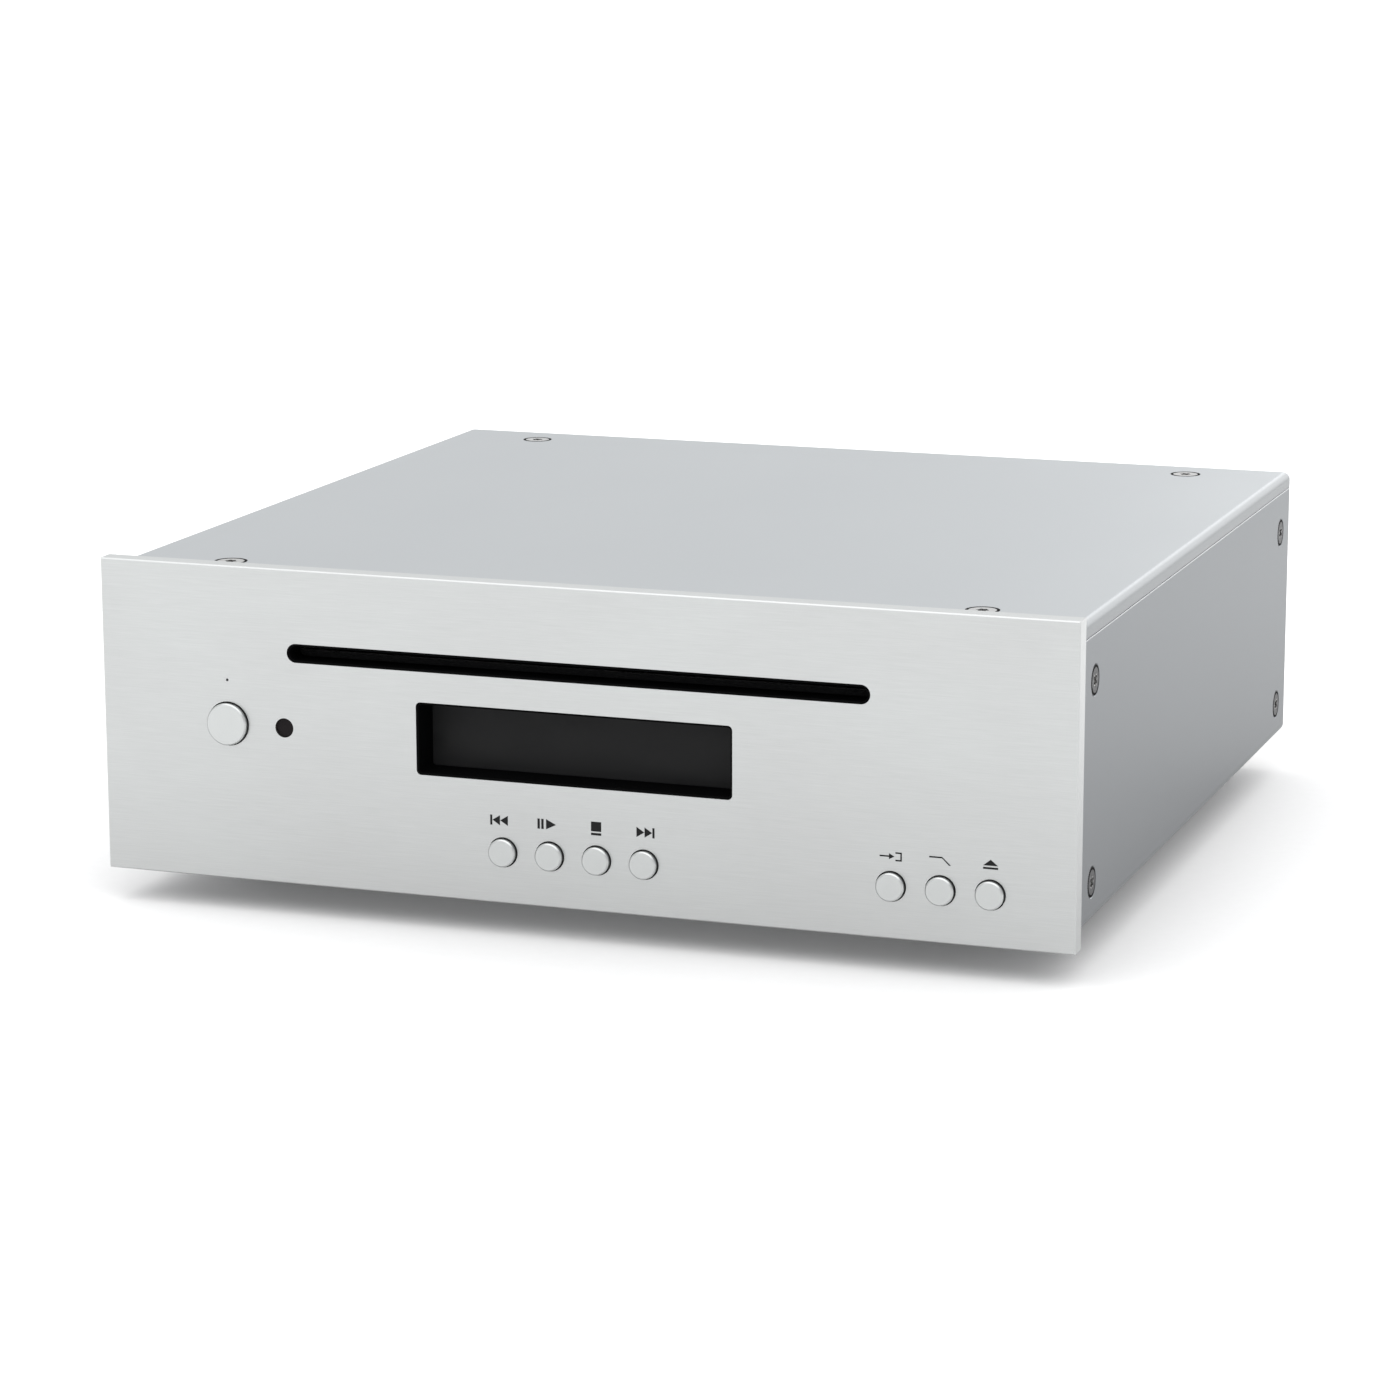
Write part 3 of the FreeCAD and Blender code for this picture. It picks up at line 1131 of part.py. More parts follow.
def loader_base():
    y0 = loader_front
    y1 = loader_back + LOADER_SHEET
    floor = box(-LOADER_HALF, LOADER_HALF, y0 + FLOOR_START, y1, loader_floor, loader_floor + LOADER_SHEET)
    walls = [box(min(side * LOADER_HALF, side * loader_inner), max(side * LOADER_HALF, side * loader_inner),
                 y0, y1, loader_floor, loader_roof) for side in (-1, 1)]
    back = box(-loader_inner, loader_inner, loader_back, y1, loader_floor, loader_roof)
    ears = []
    flanges = []
    for side in (-1, 1):
        for y in ear_rows:
            x0 = min(side * LOADER_HALF, side * ear_end)
            ears.append(box(x0, x0 + ear_end - LOADER_HALF, y - EAR_WIDTH / 2, y + EAR_WIDTH / 2,
                            loader_floor, loader_floor + LOADER_SHEET))
        for y in flange_rows:
            x0 = min(side * loader_inner, side * (loader_inner - FLANGE_REACH))
            flanges.append(box(x0, x0 + FLANGE_REACH, y - EAR_WIDTH / 2, y + EAR_WIDTH / 2,
                               loader_roof - LOADER_SHEET, loader_roof))
    shell = fuse([floor, back] + walls + ears + flanges)
    cuts = [box(-GROMMET_X + 4.5, GROMMET_X - 4.5, spindle_y - 13, spindle_y + 56,
                loader_floor - 1, loader_floor + LOADER_SHEET + 1)]
    for side in (-1, 1):
        x0 = min(side * (LOADER_HALF + 1), side * (loader_inner - 1))
        cuts.append(bar(x0, pivot_y, pivot_z, PIVOT_PIN + FIT, LOADER_SHEET + 2, X_AXIS))
        for y in ear_rows:
            cuts.append(bar(side * post_x, y, loader_floor - 1, PAN_SHANK + FIT, LOADER_SHEET + 2, Z_AXIS))
        for y in flange_rows:
            cuts.append(bar(side * flange_x, y, loader_roof - 3, PAN_SHANK, 4, Z_AXIS))
        for y in GROMMET_Y:
            cuts.append(bar(side * GROMMET_X, spindle_y + y, loader_floor - 1, PAN_SHANK,
                            LOADER_SHEET + 2, Z_AXIS))
    x0 = -LOADER_HALF - 1
    x1 = -loader_inner + 1
    cuts.append(capsule_x(x0, x1, bracket_pin_up, bracket_pin_down, SLIDE_PIN + 0.6))
    cuts.append(capsule_x(x0, x1, clamp_pin_up, clamp_pin_down, SLIDE_PIN + 0.6))
    return fuse([shell.cut(fuse_all(cuts))] + slide_pins())


def loader_cover():
    y1 = loader_back + LOADER_SHEET
    plate = box(-LOADER_HALF, LOADER_HALF, loader_front, y1, loader_roof, loader_top)
    lugs = []
    cuts = []
    for side in (-1, 1):
        x0 = min(side * lug_x, side * (lug_x + LUG_SHEET))
        lugs.append(box(x0, x0 + LUG_SHEET, hinge_y - 4, hinge_y + 4, hinge_z - 3, loader_roof))
        for y in flange_rows:
            cuts.append(bar(side * flange_x, y, loader_roof - 1, PAN_SHANK + FIT, LOADER_SHEET + 2, Z_AXIS))
    cuts.append(bar(0, spindle_y, loader_roof - 1, PUCK_CAP + 2, LOADER_SHEET + 2, Z_AXIS))
    rod = bar(-lug_x - LUG_SHEET, hinge_y, hinge_z, CLAMP_ROD, 2 * (lug_x + LUG_SHEET), X_AXIS)
    return fuse([plate] + lugs).cut(fuse_all(cuts)).fuse(rod).removeSplitter()


def disc_guide():
    low = slot_z + DISC_THICKNESS / 2 + 2 * FIT
    y0 = loader_front + 1
    y1 = y0 + GUIDE_LENGTH
    plate = box(-roller_half, roller_half, y0, y1, low, low + GUIDE_SHEET)
    lead = [e for e in plate.Edges if e.BoundBox.YMax < y0 + 0.01 and e.BoundBox.ZMax < low + 0.01]
    plate = plate.makeFillet(GUIDE_SHEET * 0.8, lead)
    webs = [box(x - 1, x + 1, y0 + 2, y1 - 2, low + GUIDE_SHEET, loader_roof)
            for x in (-roller_half + 1, -20, 20, roller_half - 1)]
    return fuse([plate] + webs)


def loader_posts():
    top = loader_floor - DAMPER_HEIGHT
    posts = []
    for x, y in post_places:
        post = hexagon(x, y, floor_level, POST_RADIUS * 2, top - floor_level, Z_AXIS)
        posts.append(post.cut(bar(x, y, top - 8, PAN_SHANK, 9, Z_AXIS)))
    return posts


def loader_dampers():
    dampers = []
    for x, y in post_places:
        pad = bar(x, y, loader_floor - DAMPER_HEIGHT, DAMPER_RADIUS, DAMPER_HEIGHT, Z_AXIS)
        hole = bar(x, y, loader_floor - DAMPER_HEIGHT - 1, PAN_SHANK, DAMPER_HEIGHT + 2, Z_AXIS)
        dampers.append(pad.cut(hole))
    return dampers


def loader_screws():
    """Screws through the ears into the posts, and through the loader's cover."""
    screws = []
    for x, y in post_places:
        screw = pan_screw(DAMPER_HEIGHT + LOADER_SHEET + 6)
        screws.append(placed(screw, x, y, loader_floor + LOADER_SHEET, Z_AXIS))
    for side in (-1, 1):
        for y in flange_rows:
            screws.append(placed(flat_screw(), side * flange_x, y, loader_top, Z_AXIS))
    return screws


def flat_screw():
    """A thin-headed screw for the loader's cover."""
    head = bar(0, 0, 0, PAN_HEAD, 1.0, Z_AXIS)
    shank = bar(0, 0, -LOADER_SHEET * 2 - 1, PAN_SHANK, LOADER_SHEET * 2 + 1, Z_AXIS)
    slot = box(-PAN_HEAD * 0.6, PAN_HEAD * 0.6, -0.3, 0.3, 0.5, 2)
    return fuse([head, shank]).cut(slot)


def traverse_plate():
    plate = box(-TRAVERSE_HALF, TRAVERSE_HALF, spindle_y - TRAVERSE_FRONT, spindle_y + TRAVERSE_REAR,
                traverse_z, traverse_top)
    corners = edges_along(plate, Z_AXIS)
    plate = plate.makeFillet(3.0, corners)
    cuts = [bar(0, spindle_y, traverse_z - 1, 3.0, TRAVERSE_SHEET + 2, Z_AXIS)]
    for x in (-GROMMET_X, GROMMET_X):
        for y in GROMMET_Y:
            cuts.append(bar(x, spindle_y + y, traverse_z - 1, GROMMET_NECK, TRAVERSE_SHEET + 2, Z_AXIS))
    cuts.append(bar(sled_motor_x, sled_motor_y, traverse_z - 1, 2.0, TRAVERSE_SHEET + 2, Z_AXIS))
    axle_top = sled_bottom + RACK_WIDTH + 0.6
    blocks = [bar(wheel_x, wheel_y, traverse_z, AXLE_RADIUS, axle_top - traverse_z, Z_AXIS)]
    for side in (-1, 1):
        for y in rod_ends:
            x = side * ROD_SPACING / 2
            blocks.append(box(x - 2.5, x + 2.5, y - 1.5, y + 1.5, traverse_top, rod_z + 2.2))
            cuts.append(bar(x, y - 2, rod_z, ROD_RADIUS, 4, Y_AXIS))
    return fuse([plate] + blocks).cut(fuse_all(cuts))


def traverse_grommets():
    """Soft bushes that float the traverse plate on the loader's floor."""
    low = loader_floor + LOADER_SHEET
    rings = []
    for x in (-GROMMET_X, GROMMET_X):
        for y in GROMMET_Y:
            foot_part = bar(x, spindle_y + y, low, GROMMET_RADIUS, traverse_z - low, Z_AXIS)
            neck = bar(x, spindle_y + y, low, GROMMET_NECK, traverse_top + 1.2 - low, Z_AXIS)
            collar = bar(x, spindle_y + y, traverse_top, GROMMET_RADIUS, 1.2, Z_AXIS)
            hole = bar(x, spindle_y + y, low - 1, PAN_SHANK, traverse_top + 4 - low, Z_AXIS)
            rings.append(fuse([foot_part, neck, collar]).cut(hole))
    return rings


def traverse_screws():
    top = traverse_top + 1.2
    screws = []
    for x in (-GROMMET_X, GROMMET_X):
        for y in GROMMET_Y:
            screws.append(placed(pan_screw(top - loader_floor + 1), x, spindle_y + y, top, Z_AXIS))
    return screws


def spindle_motor():
    low = traverse_z - SPINDLE_MOTOR_HEIGHT
    body = bar(0, spindle_y, low, SPINDLE_MOTOR_RADIUS, SPINDLE_MOTOR_HEIGHT, Z_AXIS)
    rim = [e for e in body.Edges if e.BoundBox.ZMax < low + 0.01]
    rim = [e for e in rim if e.BoundBox.XLength > SPINDLE_MOTOR_RADIUS]
    body = body.makeFillet(0.8, rim)
    boss = bar(0, spindle_y, traverse_z, 2.9, TRAVERSE_SHEET, Z_AXIS)
    bore = bar(0, spindle_y, traverse_z - SPINDLE_MOTOR_HEIGHT + 1, SPINDLE_RADIUS + FIT,
               SPINDLE_MOTOR_HEIGHT + 4, Z_AXIS)
    return fuse([body, boss]).cut(bore)


def turntable():
    """The disc's seat and centring cone, moulded around the motor's shaft."""
    seat = bar(0, spindle_y, seat_z - SEAT_THICKNESS, SEAT_RADIUS, SEAT_THICKNESS, Z_AXIS)
    cone = Part.makeCone(CONE_RADIUS, CONE_RADIUS - 0.8, CONE_HEIGHT, Vector(0, spindle_y, seat_z), Z_AXIS)
    hub = bar(0, spindle_y, seat_z - SEAT_THICKNESS - HUB_HEIGHT, HUB_RADIUS, HUB_HEIGHT, Z_AXIS)
    low = traverse_z - SPINDLE_MOTOR_HEIGHT + 1.5
    shaft = bar(0, spindle_y, low, SPINDLE_RADIUS, seat_z - low, Z_AXIS)
    return fuse([seat, cone, hub, shaft])


def guide_rods():
    length = rod_ends[1] - rod_ends[0] + 3
    return group([bar(side * ROD_SPACING / 2, rod_ends[0] - 1.5, rod_z, ROD_RADIUS, length, Y_AXIS)
                  for side in (-1, 1)])


def pickup_sled():
    half_length = SLED_LENGTH / 2
    body = box(-SLED_HALF, SLED_HALF, lens_y - half_length, lens_y + half_length, sled_bottom, sled_top)
    body = body.makeFillet(2.0, edges_along(body, Z_AXIS))
    rack_root = rack_x + 1.2 * RACK_MODULE
    rack_end = rack_start + rack_length
    back = box(rack_root, -SLED_HALF + 1, rack_start, rack_end, sled_bottom, sled_bottom + RACK_WIDTH)
    pitch = rack_pitch
    slope = math.tan(math.radians(20))
    half_root = pitch / 4 * 0.8 + slope * 1.2 * RACK_MODULE
    half_tip = pitch / 4 * 0.8 - slope * 0.9 * RACK_MODULE
    tip = rack_x - 0.9 * RACK_MODULE
    teeth = []
    for i in range(RACK_TEETH):
        y = rack_start + (i + 0.5) * pitch
        corners = [
            Vector(rack_root + 0.1, y - half_root, sled_bottom),
            Vector(tip, y - half_tip, sled_bottom),
            Vector(tip, y + half_tip, sled_bottom),
            Vector(rack_root + 0.1, y + half_root, sled_bottom),
        ]
        teeth.append(prism(corners, Vector(0, 0, RACK_WIDTH)))
    cuts = [bar(side * ROD_SPACING / 2, lens_y - half_length - 1, rod_z, ROD_RADIUS + RUNNING,
                SLED_LENGTH + 2, Y_AXIS) for side in (-1, 1)]
    well = box(-9, 9, lens_y - 7, lens_y + 7, sled_top - 2.4, sled_top + 1)
    cuts.append(well.makeFillet(1.5, edges_along(well, Z_AXIS)))
    return fuse([body, back] + teeth).cut(fuse_all(cuts))


def lens_holder():
    """The lens in its moving ring, floating over the sled's well."""
    ring = bar(0, lens_y, lens_low, LENS_RADIUS + 1.2, sled_top + LENS_RISE * 0.5 - lens_low, Z_AXIS)
    arm = box(-8, 8, lens_y - 2, lens_y + 2, lens_low, lens_low + 1.0)
    bore = bar(0, lens_y, lens_low - 1, LENS_RADIUS - 0.4, 6, Z_AXIS)
    step = bar(0, lens_y, sled_top, LENS_RADIUS, 3, Z_AXIS)
    return fuse([ring, arm]).cut(bore.fuse(step))


def lens():
    """A small aspheric lens: a disc with a domed top."""
    base = bar(0, lens_y, sled_top, LENS_RADIUS, LENS_RISE * 0.4, Z_AXIS)
    height = LENS_RISE * 0.6
    radius = LENS_RADIUS - 0.5
    sphere = (radius * radius + height * height) / (2 * height)
    top = sled_top + LENS_RISE
    ball = Part.makeSphere(sphere, Vector(0, lens_y, top - sphere))
    dome = ball.common(bar(0, lens_y, sled_top + LENS_RISE * 0.4, radius, height, Z_AXIS))
    return fuse([base, dome])


def sled_gear():
    wheel = gear(WHEEL_TEETH, WHEEL_MODULE, wheel_thickness, SLED_MOTOR_ANGLE)
    pinion = gear(RACK_PINION_TEETH, RACK_MODULE, RACK_WIDTH + 0.4, pinion_angle)
    pinion.translate(Vector(0, 0, wheel_thickness))
    hub = bar(0, 0, 0, 2.0, wheel_thickness + RACK_WIDTH + 0.4, Z_AXIS)
    bore = bar(0, 0, -1, AXLE_RADIUS + FIT, 20, Z_AXIS)
    whole = fuse_all([wheel, pinion, hub]).cut(bore)
    whole.translate(Vector(wheel_x, wheel_y, wheel_low))
    return whole


def sled_motor():
    body = bar(sled_motor_x, sled_motor_y, traverse_z - SLED_MOTOR_HEIGHT, SLED_MOTOR_RADIUS,
               SLED_MOTOR_HEIGHT, Z_AXIS)
    boss = bar(sled_motor_x, sled_motor_y, traverse_z, 1.9, TRAVERSE_SHEET, Z_AXIS)
    bore = bar(sled_motor_x, sled_motor_y, traverse_z - 3, 0.75 + FIT, 8, Z_AXIS)
    return fuse([body, boss]).cut(bore)


def sled_pinion():
    """The sled motor's pinion with its shaft."""
    half_step = 180.0 / MOTOR_PINION_TEETH
    wheel = gear(MOTOR_PINION_TEETH, WHEEL_MODULE, wheel_thickness, SLED_MOTOR_ANGLE + 180 + half_step)
    wheel.translate(Vector(sled_motor_x, sled_motor_y, wheel_low))
    shaft_low = traverse_z - 2.5
    reach = wheel_low + wheel_thickness - shaft_low
    shaft = bar(sled_motor_x, sled_motor_y, shaft_low, 0.75, reach, Z_AXIS)
    return fuse([wheel, shaft])


# clamp, drawn flat and then raised the way the empty loader holds it
def raised(shape):
    copy = shape.copy()
    copy.rotate(Vector(0, hinge_y, hinge_z), X_AXIS, -CLAMP_LIFT)
    return copy


def clamp_arm():
    y0 = spindle_y - CLAMP_REACH
    top = arm_z + CLAMP_SHEET
    curl_half = CLAMP_HINGE_HALF
    plate = box(-CLAMP_HALF, CLAMP_HALF, y0, hinge_y - CLAMP_CURL * 0.7, arm_z, top)
    wide = prism([
        Vector(-CLAMP_HALF, hinge_y - CLAMP_FLARE, arm_z),
        Vector(CLAMP_HALF, hinge_y - CLAMP_FLARE, arm_z),
        Vector(curl_half, hinge_y - CLAMP_FLARE_END, arm_z),
        Vector(curl_half, hinge_y, arm_z),
        Vector(-curl_half, hinge_y, arm_z),
        Vector(-curl_half, hinge_y - CLAMP_FLARE_END, arm_z),
    ], Vector(0, 0, CLAMP_SHEET))
    pin_y = clamp_pin_down[0]
    finger = box(-loader_inner + 3, -CLAMP_HALF + 1, pin_y - 3, pin_y + 3, arm_z, top)
    boss = bar(-loader_inner + 2, clamp_pin_down[0], hinge_z, SLIDE_PIN + 0.8, 4, X_AXIS)
    pad = bar(0, spindle_y, arm_z, PUCK_NECK + 5, CLAMP_SHEET, Z_AXIS)
    curls = [bar(x0, hinge_y, hinge_z, CLAMP_CURL, CLAMP_KNUCKLE, X_AXIS)
             for x0 in (-curl_half, curl_half - CLAMP_KNUCKLE)]
    bore = bar(-curl_half - 1, hinge_y, hinge_z, CLAMP_ROD + FIT, 2 * curl_half + 2, X_AXIS)
    front = hinge_y - CLAMP_CURL - 0.6
    gap_half = curl_half - CLAMP_KNUCKLE
    middle = box(-gap_half, gap_half, front, hinge_y + 2 * CLAMP_CURL, arm_z - 3, top + 3)
    hole = bar(0, spindle_y, arm_z - 1, PUCK_NECK + PUCK_PLAY, CLAMP_SHEET + 2, Z_AXIS)
    tip = slide_outside - 0.6
    pin = bar(tip, clamp_pin_down[0], hinge_z, SLIDE_PIN, -loader_inner + 6 - tip, X_AXIS)
    body = fuse([plate, wide, finger, pad, boss, pin] + curls)
    return raised(body.cut(fuse_all([bore, middle, hole])))


def clamp_puck():
    disc = bar(0, spindle_y, puck_z, PUCK_RADIUS, PUCK_THICKNESS, Z_AXIS)
    recess = bar(0, spindle_y, puck_z - 1, CONE_RADIUS + 0.8, PUCK_RECESS + 1, Z_AXIS)
    neck = bar(0, spindle_y, puck_z + PUCK_RECESS, PUCK_NECK, cap_low - puck_z - PUCK_RECESS, Z_AXIS)
    cap = bar(0, spindle_y, cap_low, PUCK_CAP, 1.0, Z_AXIS)
    return raised(fuse([disc, neck, cap]).cut(recess))


# loading roller on its swinging bracket
def roller_bracket():
    y0 = loader_front + 2
    y1 = loader_front + FLOOR_START - 3
    low = bracket_floor
    floor = box(-bracket_inner, bracket_inner, y0, y1, low, low + BRACKET_SHEET)
    sides = []
    cuts = []
    for side in (-1, 1):
        x0 = min(side * bracket_inner, side * bracket_outer)
        back = y1 if side > 0 else bracket_pin_up[0] + 3
        outline = [
            Vector(x0, y0, low),
            Vector(x0, y1, low),
            Vector(x0, back, pivot_z - 3),
            Vector(x0, back, pivot_z + 3),
            Vector(x0, pivot_y, pivot_z + 5),
            Vector(x0, idler_y + 4, idler_z + 4),
            Vector(x0, idler_y - 4, idler_z + 4),
            Vector(x0, y0, roller_z + 3),
        ]
        sides.append(prism(outline, Vector(BRACKET_SHEET, 0, 0)))
        cuts.append(bar(x0 - 1, roller_y, roller_z, ROLLER_JOURNAL + FIT, BRACKET_SHEET + 2, X_AXIS))
    cheek = box(motor_end, motor_end + 1.2, loading_motor_y - 6, loading_motor_y + 5,
                low + BRACKET_SHEET, loading_motor_z + 4)
    cuts.append(bar(motor_end - 1, loading_motor_y, loading_motor_z, 1.6, 4, X_AXIS))
    return fuse([fuse([floor, cheek] + sides).cut(fuse_all(cuts))] + bracket_pins())


def bracket_pins():
    """The pivot pins, the drive pin and the idler's axle, riveted into the bracket."""
    pins = []
    for side in (-1, 1):
        x0 = min(side * bracket_inner, side * LOADER_HALF)
        pins.append(bar(x0, pivot_y, pivot_z, PIVOT_PIN, LOADER_HALF - bracket_inner, X_AXIS))
    tip = slide_outside - 0.6
    pins.append(bar(tip, bracket_pin_up[0], bracket_pin_up[1], SLIDE_PIN, -bracket_inner - tip, X_AXIS))
    idler_pin = bracket_outer - gear_start + 0.6
    pins.append(bar(gear_start - 0.6, idler_y, idler_z, AXLE_RADIUS, idler_pin, X_AXIS))
    return pins


def loading_roller():
    """The rubber sleeve, thinner in the middle so that it only touches a disc's edges."""
    sleeves = []
    for side in (-1, 1):
        cone = Part.makeCone(ROLLER_MIDDLE, ROLLER_END, roller_half, Vector(0, roller_y, roller_z),
                             Vector(side, 0, 0))
        sleeves.append(cone)
    whole = fuse(sleeves)
    return whole.cut(bar(-roller_half - 1, roller_y, roller_z, ROLLER_SHAFT, 2 * roller_half + 2, X_AXIS))


def roller_shaft():
    """The roller's core, moulded in one with its gear."""
    start = -roller_half - 2
    shaft = bar(start, roller_y, roller_z, ROLLER_SHAFT, gear_start + GEAR_WIDTH - start, X_AXIS)
    journal = bar(-bracket_outer, roller_y, roller_z, ROLLER_JOURNAL, 2 * bracket_outer, X_AXIS)
    wheel = gear(ROLLER_GEAR_TEETH, GEAR_MODULE, GEAR_WIDTH, idler_direction)
    return fuse([shaft, journal, along_x(wheel, gear_start, roller_y, roller_z)])


def idler_gear():
    half_step = 180.0 / IDLER_SMALL_TEETH
    small = gear(IDLER_SMALL_TEETH, GEAR_MODULE, GEAR_WIDTH, idler_direction + 180 + half_step)
    large = gear(IDLER_LARGE_TEETH, GEAR_MODULE, GEAR_WIDTH, pinion_direction)
    large.translate(Vector(0, 0, GEAR_WIDTH + 0.6))
    hub = bar(0, 0, 0, 2.0, 2 * GEAR_WIDTH + 0.6, Z_AXIS)
    whole = fuse_all([small, large, hub]).cut(bar(0, 0, -1, AXLE_RADIUS + FIT, 20, Z_AXIS))
    return along_x(whole, gear_start, idler_y, idler_z)


def loading_motor():
    body = bar(motor_end - LOADING_MOTOR_LENGTH, loading_motor_y, loading_motor_z, LOADING_MOTOR_RADIUS,
               LOADING_MOTOR_LENGTH, X_AXIS)
    boss = bar(motor_end, loading_motor_y, loading_motor_z, 1.55, 1.2, X_AXIS)
    bore = bar(motor_end - 4, loading_motor_y, loading_motor_z, 0.75 + FIT, 6, X_AXIS)
    return fuse([body, boss]).cut(bore)


def loading_pinion():
    half_step = 180.0 / LOADING_PINION_TEETH
    wheel = gear(LOADING_PINION_TEETH, GEAR_MODULE, GEAR_WIDTH, pinion_direction + 180 + half_step)
    start = gear_start + GEAR_WIDTH + 0.6
    wheel = along_x(wheel, start, loading_motor_y, loading_motor_z)
    reach = start + GEAR_WIDTH - motor_end + 3
    shaft = bar(motor_end - 3, loading_motor_y, loading_motor_z, 0.75, reach, X_AXIS)
    return fuse([wheel, shaft])


def shift_slide():
    """The side plate that lowers the roller bracket and the clamp together."""
    plate = box(slide_outside, slide_inside, slide_start, slide_end, slide_low, slide_high)
    plate = plate.makeFillet(1.5, edges_along(plate, X_AXIS))
    x0 = slide_outside - 1
    x1 = slide_inside + 1
    play = SLIDE_PLAY
    cuts = []
    down = (bracket_pin_down[0] - SLIDE_TRAVEL, bracket_pin_down[1])
    cuts.append(capsule_x(x0, x1, bracket_pin_up, down, SLIDE_PIN + play))
    down = (clamp_pin_down[0] - SLIDE_TRAVEL, clamp_pin_down[1])
    cuts.append(capsule_x(x0, x1, clamp_pin_up, down, SLIDE_PIN + play))
    for y, z in slide_pin_places:
        cuts.append(capsule_x(x0, x1, (y, z), (y - SLIDE_TRAVEL, z), SLIDE_PIN + RUNNING))
    return plate.cut(fuse_all(cuts))


def slide_pins():
    """Headed pins riveted into the loader's left wall, on which the shift slide runs."""
    pins = []
    for y, z in slide_pin_places:
        outer = slide_outside - 0.2
        shank = bar(outer, y, z, SLIDE_PIN, -loader_inner - outer, X_AXIS)
        head = bar(outer - 0.8, y, z, SLIDE_PIN + 1.2, 0.8, X_AXIS)
        pins += [shank, head]
    return pins


# ---------------------------------------------------------------- build
nodes = {
    "front_panel": fascia(),
    "front_frame": front_frame(),
    "chassis_tray": tray(),
    "top_cover": cover(),
    "rear_panel": rear_panel(),
    "case_screws": group(cover_screws() + side_screws()),
    "pan_screws": group(fascia_screws() + foot_screws() + guide_screws() + board_screws()
                        + loader_screws() + traverse_screws()),
    "feet": group([foot(x, y) for x, y in foot_places]),
    "slot_bezel": slot_bezel(),
    "dust_lips": dust_lips(),
    "display_bezel": display_bezel(),
    "display_window": display_window(),
    "display_module": display_module(),
    "infrared_window": infrared_window(),
    "standby_lamp": group([light_pipe(), standby_lamp()]),
    "key_guides": group([key_guide(), power_guide()]),
    "front_components": group(key_switches() + [infrared_receiver()]),
    "front_board": front_board(),
    "standoffs": group(board_spacers() + standoffs() + loader_posts()),
    "main_board": main_board(),
    "processors": processors(),
    "capacitors": group(reservoirs() + coupling_capacitors()),
    "heatsink": heatsink(),
    "ribbon_cable": group([ribbon_cable()] + cable_headers()),
    "phono_sockets": group([phono_shell(x) for x in line_out_x + coax_x]),
    "socket_blocks": socket_blocks(),
    "optical_sockets": group([optical_socket(x) for x in optical_x]),
    "optical_out_flap": optical_flap(optical_x[0]),
    "optical_in_flap": optical_flap(optical_x[1]),
    "power_inlet": power_inlet(),
    "loader_base": loader_base(),
    "loader_cover": loader_cover(),
    "disc_guide": disc_guide(),
    "rubber_mounts": group(loader_dampers() + traverse_grommets()),
    "traverse_plate": traverse_plate(),
    "spindle_motor": spindle_motor(),
    "turntable": turntable(),
    "guide_rods": guide_rods(),
    "pickup_sled": pickup_sled(),
    "objective_lens": group([lens_holder(), lens()]),
    "sled_gear": sled_gear(),
    "sled_motor": sled_motor(),
    "sled_pinion": sled_pinion(),
    "clamp_arm": clamp_arm(),
    "clamp_puck": clamp_puck(),
    "roller_bracket": roller_bracket(),
    "loading_roller": loading_roller(),
    "roller_shaft": roller_shaft(),
    "idler_gear": idler_gear(),
    "loading_motor": loading_motor(),
    "loading_pinion": loading_pinion(),
    "shift_slide": shift_slide(),
}
for name, x, z, hole in keys:
    nodes[name] = button(x, z, hole)

os.makedirs("parts", exist_ok=True)
for name, shape in nodes.items():
    shape.exportStep(f"parts/{name}.step")
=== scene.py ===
"""Looks of a slot-loading disc player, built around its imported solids.

Sizes are in millimetres and become metres when a mesh is finished. +X is to the
right of someone facing the fascia, +Y runs from the fascia to the sockets and +Z
is up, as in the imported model.
"""
import logging
import math
from dataclasses import dataclass, field
from enum import Enum

import bmesh
import bpy
from mathutils import Matrix, Vector


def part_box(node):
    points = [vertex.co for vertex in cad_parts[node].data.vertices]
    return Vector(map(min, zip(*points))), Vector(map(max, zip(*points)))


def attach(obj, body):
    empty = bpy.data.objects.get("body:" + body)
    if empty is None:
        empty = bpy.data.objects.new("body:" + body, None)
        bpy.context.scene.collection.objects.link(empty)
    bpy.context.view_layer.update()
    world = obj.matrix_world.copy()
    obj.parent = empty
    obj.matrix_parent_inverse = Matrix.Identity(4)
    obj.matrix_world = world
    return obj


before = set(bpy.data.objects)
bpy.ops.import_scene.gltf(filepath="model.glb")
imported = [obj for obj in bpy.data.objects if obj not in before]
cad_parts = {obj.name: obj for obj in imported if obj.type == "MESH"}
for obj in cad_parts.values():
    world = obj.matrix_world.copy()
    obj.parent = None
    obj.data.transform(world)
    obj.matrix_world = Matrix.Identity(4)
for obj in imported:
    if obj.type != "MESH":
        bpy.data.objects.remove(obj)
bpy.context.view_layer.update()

MM = 0.001
log = logging.getLogger("player")

Colour = tuple[float, float, float]
Point = tuple[float, float, float]
Flat = tuple[float, float]
Edges = tuple[float, float, float, float]
Socket = bpy.types.NodeSocket

ORIGIN: Point = (0.0, 0.0, 0.0)
WHITE: Colour = (1.0, 1.0, 1.0)
UPRIGHT = Matrix.Rotation(math.radians(90), 4, "X")
RANGE_ENDS = ("From Min", "From Max", "To Min", "To Max")
# The numbers of sockets whose names a node repeats for each type of value.
MIX_FIRST, MIX_SECOND, MIX_RESULT = 6, 7, 2
RANDOM_LEAST, RANDOM_MOST, RANDOM_RESULT = 2, 3, 1


